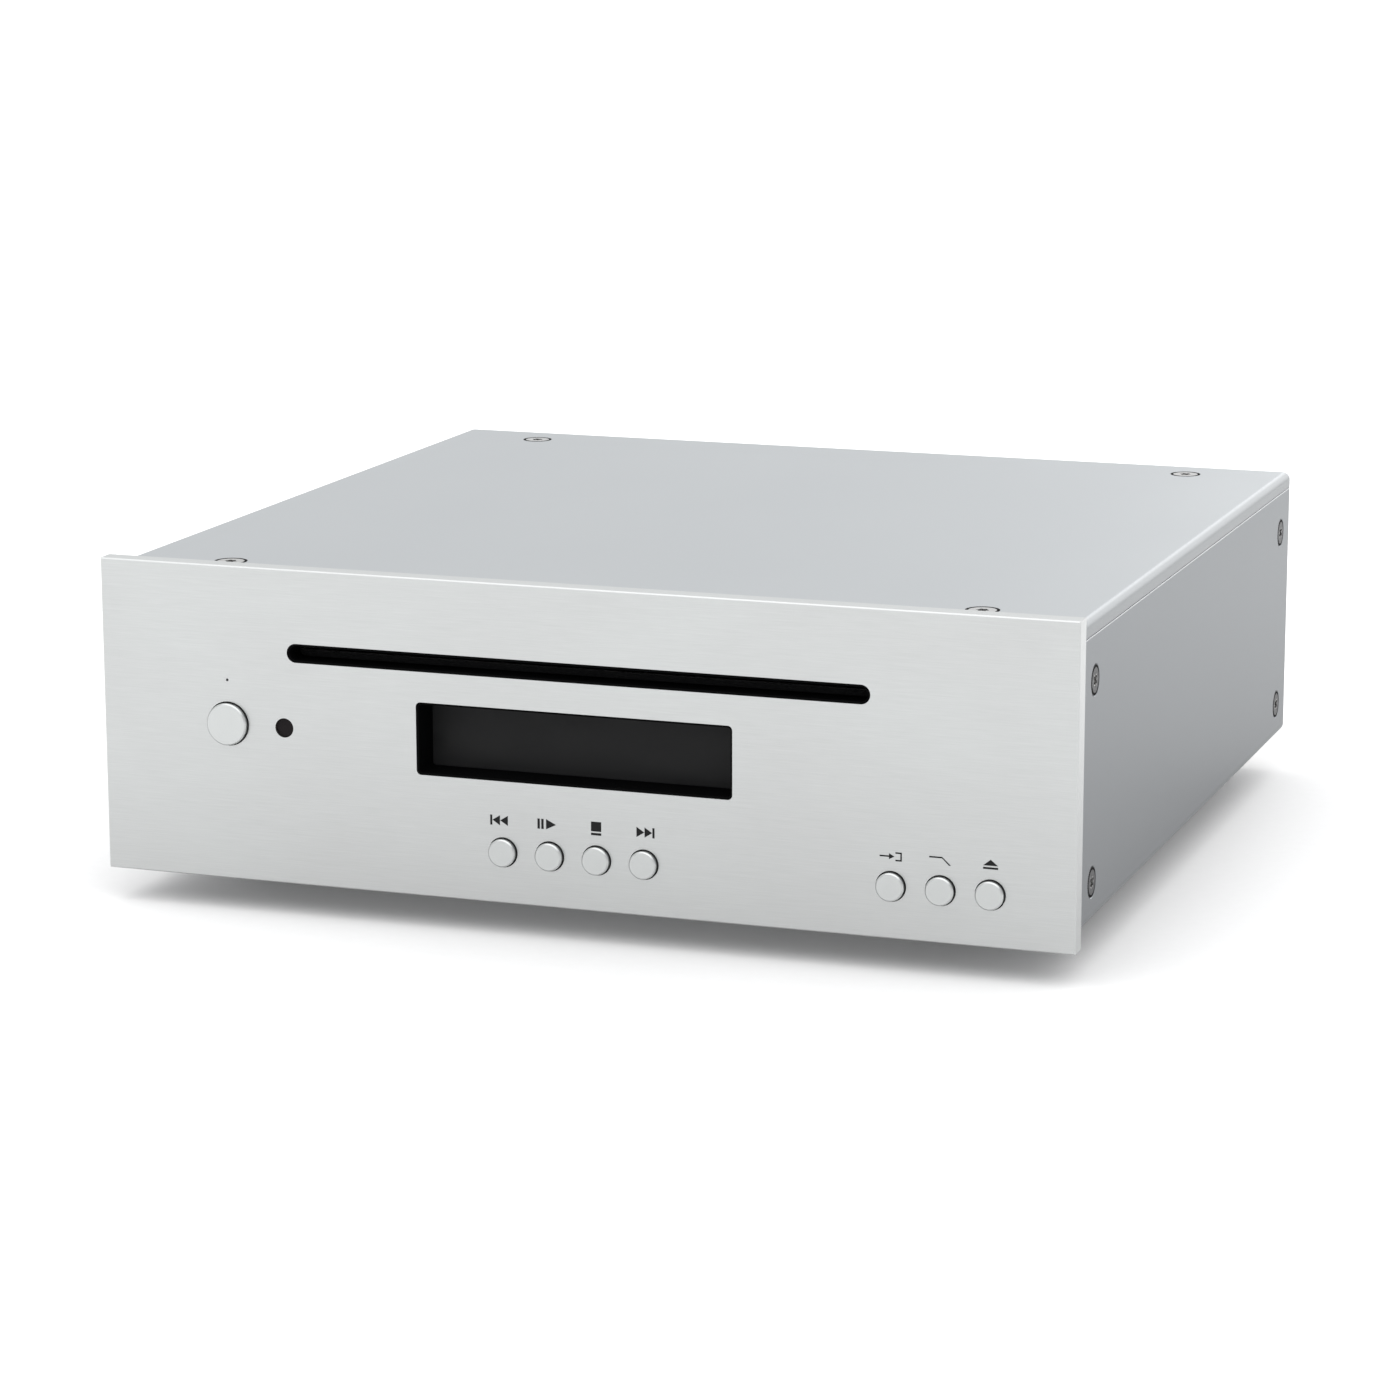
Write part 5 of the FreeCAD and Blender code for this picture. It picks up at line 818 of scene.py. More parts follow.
@dataclass
class Repeats:
    """A Geometry Nodes tree that repeats a small block in a pattern.

    Attributes:
        pattern: The layout.
        size: The block's sizes along X, Y and Z in millimetres.
        count: Repeats along the line, around the ring, or across the grid.
        rows: The grid's second count.
        step: The line's step, or the grid's or area's two widths.
        radius: The ring's radius, or the least distance between scattered blocks.
        vary: How much smaller a block may be, from 0 to 1.
        tilt: The largest random turn of a block in radians.
        seed: The random seed.
        inputs: The identifiers of the tree's inputs, filled in when it is built.
    """

    pattern: Pattern
    size: Point
    count: int = 2
    rows: int = 1
    step: Point = (1.0, 0.0, 0.0)
    radius: float = 1.0
    vary: float = 0.0
    tilt: float = 0.0
    seed: int = 1
    inputs: dict[str, str] = field(default_factory=dict)

    def _input(self, group: bpy.types.NodeTree, name: str, kind: str) -> None:
        """Adds a named input and keeps its identifier."""
        item = group.interface.new_socket(name, in_out="INPUT", socket_type="NodeSocket" + kind)
        self.inputs[name] = item.identifier

    def _points(self, group: bpy.types.NodeTree, start: bpy.types.Node) -> Socket:
        """Adds the nodes that lay the points out.

        Args:
            group: The tree.
            start: Its input node.

        Returns:
            The points' geometry socket.
        """
        links, add = group.links, group.nodes.new
        given = start.outputs
        if self.pattern is Pattern.LINE:
            line = add("GeometryNodeMeshLine")
            line.mode = "OFFSET"
            links.new(given["Count"], line.inputs["Count"])
            links.new(given["Step"], line.inputs["Offset"])
            return line.outputs["Mesh"]
        if self.pattern is Pattern.RING:
            ring = add("GeometryNodeMeshCircle")
            links.new(given["Count"], ring.inputs["Vertices"])
            links.new(given["Radius"], ring.inputs["Radius"])
            return ring.outputs["Mesh"]
        split = add("ShaderNodeSeparateXYZ")
        links.new(given["Step"], split.inputs["Vector"])
        grid = add("GeometryNodeMeshGrid")
        links.new(split.outputs["X"], grid.inputs["Size X"])
        links.new(split.outputs["Y"], grid.inputs["Size Y"])
        if self.pattern is Pattern.GRID:
            links.new(given["Count"], grid.inputs["Vertices X"])
            links.new(given["Rows"], grid.inputs["Vertices Y"])
            return grid.outputs["Mesh"]
        spread = add("GeometryNodeDistributePointsOnFaces")
        spread.distribute_method = "POISSON"
        links.new(grid.outputs["Mesh"], spread.inputs["Mesh"])
        links.new(given["Radius"], spread.inputs["Distance Min"])
        links.new(given["Seed"], spread.inputs["Seed"])
        spread.inputs["Density Max"].default_value = 1.0
        return spread.outputs["Points"]

    def mesh(self, name: str, material: bpy.types.Material) -> bpy.types.Mesh:
        """Builds the tree, runs it on an empty mesh and takes the result.

        Args:
            name: The tree's name.
            material: The material that the tree sets.

        Returns:
            A plain mesh in millimetres, about the origin.
        """
        group = bpy.data.node_groups.new(name, "GeometryNodeTree")
        for title, kind in (("Size", "Vector"), ("Count", "Int"), ("Rows", "Int"), ("Step", "Vector"),
                            ("Radius", "Float"), ("Smallest", "Float"), ("Tilt", "Float"), ("Seed", "Int")):
            self._input(group, title, kind)
        group.interface.new_socket("Geometry", in_out="OUTPUT", socket_type="NodeSocketGeometry")
        links, add = group.links, group.nodes.new
        start, end = add("NodeGroupInput"), add("NodeGroupOutput")
        cube = add("GeometryNodeMeshCube")
        place = add("GeometryNodeInstanceOnPoints")
        links.new(self._points(group, start), place.inputs["Points"])
        links.new(cube.outputs["Mesh"], place.inputs["Instance"])
        shrink = add("FunctionNodeRandomValue")
        shrink.data_type = "FLOAT"
        links.new(start.outputs["Smallest"], shrink.inputs[RANDOM_LEAST])
        shrink.inputs[RANDOM_MOST].default_value = 1.0
        links.new(start.outputs["Seed"], shrink.inputs["Seed"])
        scale = add("ShaderNodeVectorMath")
        scale.operation = "SCALE"
        links.new(start.outputs["Size"], scale.inputs[0])
        links.new(shrink.outputs[RANDOM_RESULT], scale.inputs["Scale"])
        links.new(scale.outputs["Vector"], place.inputs["Scale"])
        if self.pattern is Pattern.RING:
            spot = add("GeometryNodeInputPosition")
            face = add("FunctionNodeAlignRotationToVector")
            face.axis = "X"
            links.new(spot.outputs["Position"], face.inputs["Vector"])
            links.new(face.outputs["Rotation"], place.inputs["Rotation"])
        else:
            most, least = add("ShaderNodeVectorMath"), add("ShaderNodeVectorMath")
            for node, sign in ((most, 1.0), (least, -1.0)):
                node.operation = "SCALE"
                node.inputs[0].default_value = (sign, sign, sign)
                links.new(start.outputs["Tilt"], node.inputs["Scale"])
            turn = add("FunctionNodeRandomValue")
            turn.data_type = "FLOAT_VECTOR"
            links.new(least.outputs["Vector"], turn.inputs[0])
            links.new(most.outputs["Vector"], turn.inputs[1])
            links.new(start.outputs["Seed"], turn.inputs["Seed"])
            links.new(turn.outputs[0], place.inputs["Rotation"])
        realize, paint = add("GeometryNodeRealizeInstances"), add("GeometryNodeSetMaterial")
        paint.inputs["Material"].default_value = material
        links.new(place.outputs["Instances"], realize.inputs["Geometry"])
        links.new(realize.outputs["Geometry"], paint.inputs["Geometry"])
        links.new(paint.outputs["Geometry"], end.inputs["Geometry"])
        holder = bpy.data.objects.new(name, bpy.data.meshes.new(name))
        bpy.context.scene.collection.objects.link(holder)
        modifier = holder.modifiers.new(name, "NODES")
        modifier.node_group = group
        values = {"Size": self.size, "Count": self.count, "Rows": self.rows, "Step": self.step,
                  "Radius": self.radius, "Smallest": 1.0 - self.vary, "Tilt": self.tilt, "Seed": self.seed}
        for title, value in values.items():
            modifier[self.inputs[title]] = value
        graph = bpy.context.evaluated_depsgraph_get()
        result = bpy.data.meshes.new_from_object(holder.evaluated_get(graph), depsgraph=graph)
        holder.modifiers.remove(modifier)
        bpy.data.objects.remove(holder)
        return result

    def lay(self, shape: Shape, name: str, finish: Finish, places: list[Matrix]) -> None:
        """Adds the repeats to a shape, once at each place.

        Args:
            shape: The shape.
            name: The tree's name.
            finish: The finish that the tree sets.
            places: Where they go, in millimetres.
        """
        mesh = self.mesh(name, finish.material())
        for place in places:
            shape.include(mesh, place)
        bpy.data.meshes.remove(mesh)


@dataclass
class Assembly:
    """What every sub-assembly shares: where its solids are, and how it is dressed.

    Attributes:
        body: The body that its pieces ride on.
    """

    body: str = "player"

    def ends(self, node: str) -> tuple[Vector, Vector]:
        """A solid's lowest and highest corners in millimetres."""
        low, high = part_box(node)
        return low / MM, high / MM

    def middle(self, node: str) -> Vector:
        """The middle of a solid's box in millimetres."""
        low, high = self.ends(node)
        return (low + high) / 2

    def dress(self, finish: Finish, *nodes: str) -> None:
        """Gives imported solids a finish.

        Args:
            finish: The finish.
            nodes: The solids' names.
        """
        for node in nodes:
            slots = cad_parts[node].material_slots
            if not slots:
                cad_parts[node].data.materials.append(finish.material())
            for slot in slots:
                slot.material = finish.material()
            log.info("dressed %s in %s", node, finish.name)

    def add(self, shape: Shape, name: str, finish: Finish, slot: str, body: str = "",
            smooth: float = 30.0) -> bpy.types.Object:
        """Finishes a shape as a piece of the model.

        Args:
            shape: The shape.
            name: The piece's name.
            finish: Its finish.
            slot: The record's slot that it belongs to; not used.
            body: The body that it rides on, if not the assembly's own.
            smooth: Edges below this angle are shaded smooth.

        Returns:
            The piece.
        """
        piece = shape.finished(name, finish.material(), smooth)
        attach(piece, body or self.body)
        log.info("made %s with %d faces", name, len(piece.data.polygons))
        return piece


BRUSHED_FASCIA = Brushed("fascia_brushed", (0.49, 0.5, 0.497))
# Painted shade: roll_painted_shade darkens the lid's rolled sides.
SATIN_LID = Blasted("lid_satin", (0.41, 0.427, 0.44), rough=0.36, edge=0.95, roll_painted_shade=0.53)
# Painted shade: the tray is the lid's satin aluminium made much darker, with a duller glancing tint, for the
# shade on the player's sides.
SHADED_TRAY_SATIN = Blasted("tray_satin_painted_shade", (0.24, 0.25, 0.261), rough=0.34, edge=0.75)
REAR_ALUMINIUM = Blasted("rear_satin", (0.4, 0.407, 0.41), bead=0.2, rough=0.4)
SCREW_STEEL = Plated("screw_steel", (0.42, 0.42, 0.42), spangle=0.6, rough=0.34)
# Painted shade: a far darker copy of the screw steel, laid over the side screws' heads.
SHADED_SIDE_STEEL = Plated("side_steel_painted_shade", (0.075, 0.075, 0.078), spangle=0.6, rough=0.45)
BARE_EDGE = Brushed("bare_edge", (0.38, 0.39, 0.4), axis=Axis.Y, rough=0.4)
FRAME_ZINC = Plated("frame_zinc", (0.45, 0.458, 0.465))
LOADER_ZINC = Plated("loader_zinc", (0.4, 0.407, 0.414), spangle=2.4)
MOTOR_STEEL = Plated("motor_steel", (0.5, 0.5, 0.49), spangle=0.8, rough=0.3)
ROD_STEEL = Brushed("rod_steel", (0.7, 0.7, 0.7), axis=Axis.Y, pitch=0.05, rough=0.16, spread=0.04)
SPACER_BRASS = Plated("spacer_brass", (0.56, 0.42, 0.18), spangle=0.9, rough=0.3)
SOCKET_GOLD = Plated("socket_gold", (0.68, 0.49, 0.2), spangle=0.6, rough=0.2)
CONTACT_TIN = Plated("contact_tin", (0.72, 0.72, 0.7), spangle=0.5, rough=0.28)
BLACK_PLASTIC = Moulded("black_plastic", (0.016, 0.016, 0.017))
TUNNEL_BLACK = Moulded("tunnel_black", (0.0018, 0.0018, 0.002), rough=0.62, grain=0.2, gloss=0.03)
DARK_PLASTIC = Moulded("dark_plastic", (0.035, 0.036, 0.038), rough=0.4)
NATURAL_PLASTIC = Moulded("natural_plastic", (0.55, 0.535, 0.48), rough=0.38, coat=0.15)
WHITE_PLASTIC = Moulded("white_plastic", (0.6, 0.6, 0.585), rough=0.35, coat=0.3)
RED_PLASTIC = Moulded("red_plastic", (0.5, 0.02, 0.018), rough=0.35, coat=0.3)
ORANGE_PLASTIC = Moulded("orange_plastic", (0.58, 0.15, 0.015), rough=0.35, coat=0.3)
CHIP_RESIN = Moulded("chip_resin", (0.022, 0.022, 0.024), rough=0.6, grain=0.12, depth=0.012)
CERAMIC = Moulded("part_ceramic", (0.32, 0.25, 0.17), rough=0.5, grain=0.2)
SLEEVE = Moulded("capacitor_sleeve", (0.02, 0.028, 0.06), rough=0.3, grain=0.5, coat=0.4)
CAN_TOP = Turned("capacitor_top", (0.75, 0.75, 0.75), axis=Axis.Z, rough=0.3)
HEATSINK = Blasted("heatsink_black", (0.03, 0.03, 0.032), bead=0.1, rough=0.5)
GLASS = Smoked("display_glass", (0.0135, 0.0135, 0.014), rough=0.42, clear=0.02, gloss=0.1)
DISPLAY_FACE = Moulded("display_face", (0.014, 0.015, 0.017), rough=0.3, grain=0.15)
DISPLAY_DOT = Ink("display_dots", (0.03, 0.034, 0.038))
INFRARED = Smoked("infrared_lens", (0.008, 0.006, 0.0065), rough=0.4, clear=0.04, gloss=0.1, weave=0.3)
LAMP = Smoked("lamp_smoked", (0.03, 0.032, 0.036), rough=0.2, clear=0.3)
LENS = Smoked("lens_blue", (0.35, 0.4, 0.75), rough=0.03, clear=0.6)
FRONT_LAMINATE = Laminate("front_laminate", (0.018, 0.1, 0.045), upright=True)
MAIN_LAMINATE = Laminate("main_laminate", (0.018, 0.1, 0.045))
RIBBON = Moulded("ribbon_white", (0.5, 0.508, 0.516), rough=0.42, grain=0.6, coat=0.2)
SOFT_RUBBER = Rubber("soft_rubber", (0.02, 0.02, 0.021))
FOOT_RUBBER = Rubber("foot_rubber", (0.024, 0.024, 0.026), rough=0.72)
GREY_FELT = Felt("slot_felt", (0.005, 0.005, 0.0055))
GREY_INK = Ink("grey_ink", (0.005, 0.0052, 0.0055))
DARK_INK = Ink("dark_ink", (0.006, 0.006, 0.006))
FLOOR_PAPER = Paper("floor_paper", grey(0.94))


@dataclass(frozen=True)
class Mark:
    """A mark over a key, drawn in millimetres about a point above the key's axis.

    Attributes:
        key: The key's name.
        bars: Rectangles: their left, right, lower and upper edges.
        arrows: Triangles that point along X: base, tip, height and half width.
        outlines: Other outlines.
    """

    key: str
    bars: tuple[Edges, ...] = ()
    arrows: tuple[Edges, ...] = ()
    outlines: tuple[tuple[Flat, ...], ...] = ()

    def shapes(self) -> list[list[Flat]]:
        """Turns the mark into outlines.

        Returns:
            Every outline's corners.
        """
        bars = [[(x0, z0), (x1, z0), (x1, z1), (x0, z1)] for x0, x1, z0, z1 in self.bars]
        arrows = [[(base, z - half), (tip, z), (base, z + half)] for base, tip, z, half in self.arrows]
        return bars + arrows + [list(outline) for outline in self.outlines]


@dataclass
class Fascia(Assembly):
    """The brushed fascia with its printed marks.

    Attributes:
        ink: Height of the printed film.
        sunk: How far the film reaches into the metal.
        transport_rise: The transport marks' middle above the keys' axes.
        transport: The usual previous, play and pause, stop and next marks.
        function_rise: The function marks' middle above the keys' axes.
        function: A way in, a filter's curve and a disc coming out.
    """

    ink: float = 0.02
    sunk: float = 0.05
    transport_rise: float = 6.55
    transport: tuple[Mark, ...] = (
        Mark("previous", bars=((-2.7, -2.25, -1.04, 1.04),),
             arrows=((-0.6, -2.2, 0.0, 1.04), (1.1, -0.55, 0.0, 1.04))),
        Mark("play", bars=((-2.54, -2.03, -1.04, 1.04), (-1.73, -1.22, -1.04, 1.04)),
             arrows=((-0.7, 1.44, 0.0, 1.04),)),
        Mark("stop", bars=((-1.13, 1.03, -0.64, 1.34), (-1.13, 1.03, -1.43, -0.94))),
        Mark("next", bars=((1.83, 2.28, -1.04, 1.04),),
             arrows=((-1.52, 0.13, 0.0, 1.04), (0.18, 1.78, 0.0, 1.04))),
    )
    function_rise: float = 6.0
    function: tuple[Mark, ...] = (
        Mark("input", bars=((-2.3, -0.4, -0.15, 0.15), (1.9, 2.2, -0.9, 0.9), (0.9, 1.9, -0.9, -0.6),
                            (0.9, 1.9, 0.6, 0.9)),
             arrows=((-0.4, 0.7, 0.0, 0.6),)),
        Mark("filter", bars=((-2.3, 0.3, 0.45, 0.75),),
             outlines=(((0.3, 0.45), (1.7, -0.9), (2.1, -0.9), (0.3, 0.75)),)),
        Mark("eject", bars=((-1.5, 1.5, -0.9, -0.5),), outlines=(((-1.5, -0.2), (1.5, -0.2), (0.0, 1.0)),)),
    )

    def marks(self, name: str, marks: tuple[Mark, ...], rise: float) -> None:
        """Prints a row of marks over their keys.

        Args:
            name: The piece's name.
            marks: The marks.
            rise: Their middle above the keys' axes.
        """
        front = self.ends("front_panel")[0].y
        level = self.middle(marks[0].key + "_button").z + rise
        shape = Shape()
        for mark in marks:
            x = self.middle(mark.key + "_button").x
            for outline in mark.shapes():
                places = [(x + across, level + up) for across, up in outline]
                shape.plate(places, Axis.Y, front - self.ink, front + self.sunk)
        self.add(shape, name, GREY_INK, "fascia_aluminium", smooth=0)

    def build(self) -> None:
        """Dresses the fascia and prints its marks."""
        self.dress(BRUSHED_FASCIA, "front_panel")
        self.dress(FRAME_ZINC, "front_frame")
        self.marks("transport_marks", self.transport, self.transport_rise)
        self.marks("function_marks", self.function, self.function_rise)


@dataclass
class Keys(Assembly):
    """The round keys, each turned about its own axis.

    Attributes:
        names: The keys.
        colour: Colour of their metal.
        rough: Its roughness.
    """

    names: tuple[str, ...] = ("power", "previous", "play", "stop", "next", "input", "filter", "eject")
    colour: Colour = (0.5, 0.512, 0.508)
    rough: float = 0.34

    def build(self) -> None:
        """Dresses every key and the guides behind them."""
        for name in self.names:
            middle = tuple(self.middle(name + "_button"))
            self.dress(Turned("key_" + name, self.colour, centre=middle, rough=self.rough), name + "_button")
        self.dress(DARK_PLASTIC, "key_guides")


@dataclass
class Display(Assembly):
    """The display behind its black tunnel, with the lens for the remote control.

    Attributes:
        columns: Dots across one character.
        rows: Dots up one character.
        characters: Characters in the line.
        dot: Sizes of a dot; half its thickness stands out of the face.
        pitch: Dot to dot.
    """

    columns: int = 5
    rows: int = 7
    characters: int = 12
    dot: Point = (0.55, 0.55, 0.04)
    pitch: float = 0.68

    def dots(self) -> None:
        """Lays the unlit dots of the display's characters on its face."""
        front = self.ends("display_module")[0].y - self.dot[2] / 2
        middle = self.middle("display_module")
        wide, tall = self.pitch * (self.columns - 1), self.pitch * (self.rows - 1)
        grid = Repeats(Pattern.GRID, self.dot, self.columns, self.rows, (wide, tall, 0.0))
        step = wide + 2 * self.pitch
        spots = [middle.x + (i - (self.characters - 1) / 2) * step for i in range(self.characters)]
        shape = Shape()
        grid.lay(shape, "character", DISPLAY_DOT,
                 [Matrix.Translation((x, front, middle.z)) @ UPRIGHT for x in spots])
        self.add(shape, "display_dots", DISPLAY_DOT, "display_face", smooth=0)

    def build(self) -> None:
        """Dresses the display, its window and the remote lens."""
        self.dress(TUNNEL_BLACK, "display_bezel")
        self.dress(GLASS, "display_window")
        self.dress(DISPLAY_FACE, "display_module")
        self.dress(INFRARED, "infrared_window")
        self.dress(LAMP, "standby_lamp")
        self.dots()


@dataclass
class DiscSlot(Assembly):
    """The disc slot's lining and its felt lips.

    Attributes:
        fibres: Fibres along each row.
        fibre: Sizes of a fibre.
        levels: Rows on each lip, above and below the slot's middle.
        margin: Bare length at each end.
        proud: How far the rows stand before the lips.
    """

    fibres: int = 260
    fibre: Point = (0.05, 0.55, 0.05)
    levels: Flat = (0.42, 0.75)
    margin: float = 2.0
    proud: float = 0.1

    def nap(self) -> None:
        """Sets loose fibres along the facing edges of both lips."""
        low, high = self.ends("dust_lips")
        step = (high.x - low.x - 2 * self.margin) / self.fibres
        middle = (low.z + high.z) / 2
        shape = Shape()
        for side, seed in ((-1, 11), (1, 12)):
            row = Repeats(Pattern.LINE, self.fibre, self.fibres, step=(step, 0.0, 0.0),
                          vary=0.6, tilt=0.7, seed=seed)
            spots = [(low.x + self.margin + level, low.y - self.proud, middle + side * level)
                     for level in self.levels]
            row.lay(shape, "lip_nap", GREY_FELT, [Matrix.Translation(spot) for spot in spots])
        self.add(shape, "lip_nap", GREY_FELT, "felt", smooth=0)

    def build(self) -> None:
        """Dresses the slot and adds the nap."""
        self.dress(TUNNEL_BLACK, "slot_bezel")
        self.dress(GREY_FELT, "dust_lips")
        self.nap()


@dataclass
class Case(Assembly):
    """The lid, tray, feet and screws.

    Attributes:
        screw_across: Lid screws from the middle.
        screw_ends: Lid screws behind the fascia and ahead of the rear end.
        side_ends: The same for the side screws.
        side_levels: Side screws above the case's underside.
        lid_shade_ring: Radii of a black ring of painted shade around a lid screw's head.
        side_shade_ring: The same around a side screw's.
        side_drive: Radius of a side screw's recess, which its face of painted shade leaves open.
        shade_ring_ends: Where the rings and faces of painted shade start and end along the screw, from the
            sheet's surface.
        seam_radius: Radius of the tray's rolled edge.
        seam_inset: The edge's middle from the tray's side and top, and its ends from the tray's.
        foot_radius: Radius of a foot.
        ribs: Grip ribs around a foot.
        rib: Sizes of a rib: outward, along the rim and upward.
        rib_level: Height of the ribs' middle.
    """

    screw_across: float = 80.0
    screw_ends: Flat = (9.2, 10.1)
    side_ends: Flat = (10.8, 8.8)
    side_levels: Flat = (8.3, 48.5)
    lid_shade_ring: Flat = (2.8, 3.42)
    side_shade_ring: Flat = (2.5, 3.0)
    side_drive: float = 1.25
    shade_ring_ends: Flat = (-0.1, 0.015)
    seam_radius: float = 0.17
    seam_inset: Point = (0.07, 0.1, 0.14)
    foot_radius: float = 10.0
    ribs: int = 40
    rib: Point = (0.5, 0.55, 4.4)
    rib_level: float = 4.2

    def foot_ribs(self) -> None:
        """Adds grip ribs around each rubber foot."""
        low, high = self.ends("feet")
        shape = Shape()
        spots = [(x, y, self.rib_level) for x in (low.x + self.foot_radius, high.x - self.foot_radius)
                 for y in (low.y + self.foot_radius, high.y - self.foot_radius)]
        ring = Repeats(Pattern.RING, self.rib, self.ribs, radius=self.foot_radius)
        ring.lay(shape, "foot_rib", FOOT_RUBBER, [Matrix.Translation(spot) for spot in spots])
        self.add(shape, "foot_ribs", FOOT_RUBBER, "foot_rubber", smooth=0)

    def screw_shade_rings(self) -> None:
        """Adds painted shade at the screws: a black ring around each countersunk head, and a darker face
        over each side screw's head.
        """
        low, high = self.ends("top_cover")
        floor = self.ends("chassis_tray")[0].z
        start, stop = self.shade_ring_ends
        # Painted shade: black rings stand for the shade round the heads, and darker faces stand for the
        # shade on the side screws.
        lid = section(*self.lid_shade_ring, high.z + start, high.z + stop)
        side_ring_profile = section(*self.side_shade_ring, high.x + start, high.x + stop)
        face = section(self.side_drive, self.side_shade_ring[0], high.x + start, high.x + stop)
        painted_rings, faces = Shape(), Shape()
        for side in (-1, 1):
            for y in (low.y + self.screw_ends[0], high.y - self.screw_ends[1]):
                painted_rings.lathe((side * self.screw_across, y, 0), Axis.Z, lid, segments=40, ring=True)
            for y in (low.y + self.side_ends[0], high.y - self.side_ends[1]):
                for level in self.side_levels:
                    for shape, profile in ((painted_rings, side_ring_profile), (faces, face)):
                        wall = [(radius, side * x) for radius, x in profile]
                        shape.lathe((0, y, floor + level), Axis.X, wall[::side], segments=40, ring=True)
        self.add(painted_rings, "screw_shade_rings", TUNNEL_BLACK, "screw_steel", smooth=0)
        self.add(faces, "screw_painted_shade_faces", SHADED_SIDE_STEEL, "screw_steel", smooth=0)

    def seam_edges(self) -> None:
        """Adds the bright rolled edge of the tray under the lid's seam."""
        low, high = self.ends("chassis_tray")
        across, end, drop = self.seam_inset
        shape = Shape()
        for side in (-1, 1):
            x, z = side * (high.x - across), high.z - drop
            shape.wire([(x, low.y + end, z), (x, high.y - end, z)], self.seam_radius, sides=12)
        self.add(shape, "seam_edges", BARE_EDGE, "case_aluminium")

    def build(self) -> None:
        """Dresses the case and adds its edges, the painted shade at the screws and the ribs."""
        self.screw_shade_rings()
        self.seam_edges()
        self.dress(SATIN_LID, "top_cover")
        self.dress(SHADED_TRAY_SATIN, "chassis_tray")
        self.dress(SCREW_STEEL, "case_screws", "pan_screws")
        self.dress(FOOT_RUBBER, "feet")
        self.foot_ribs()


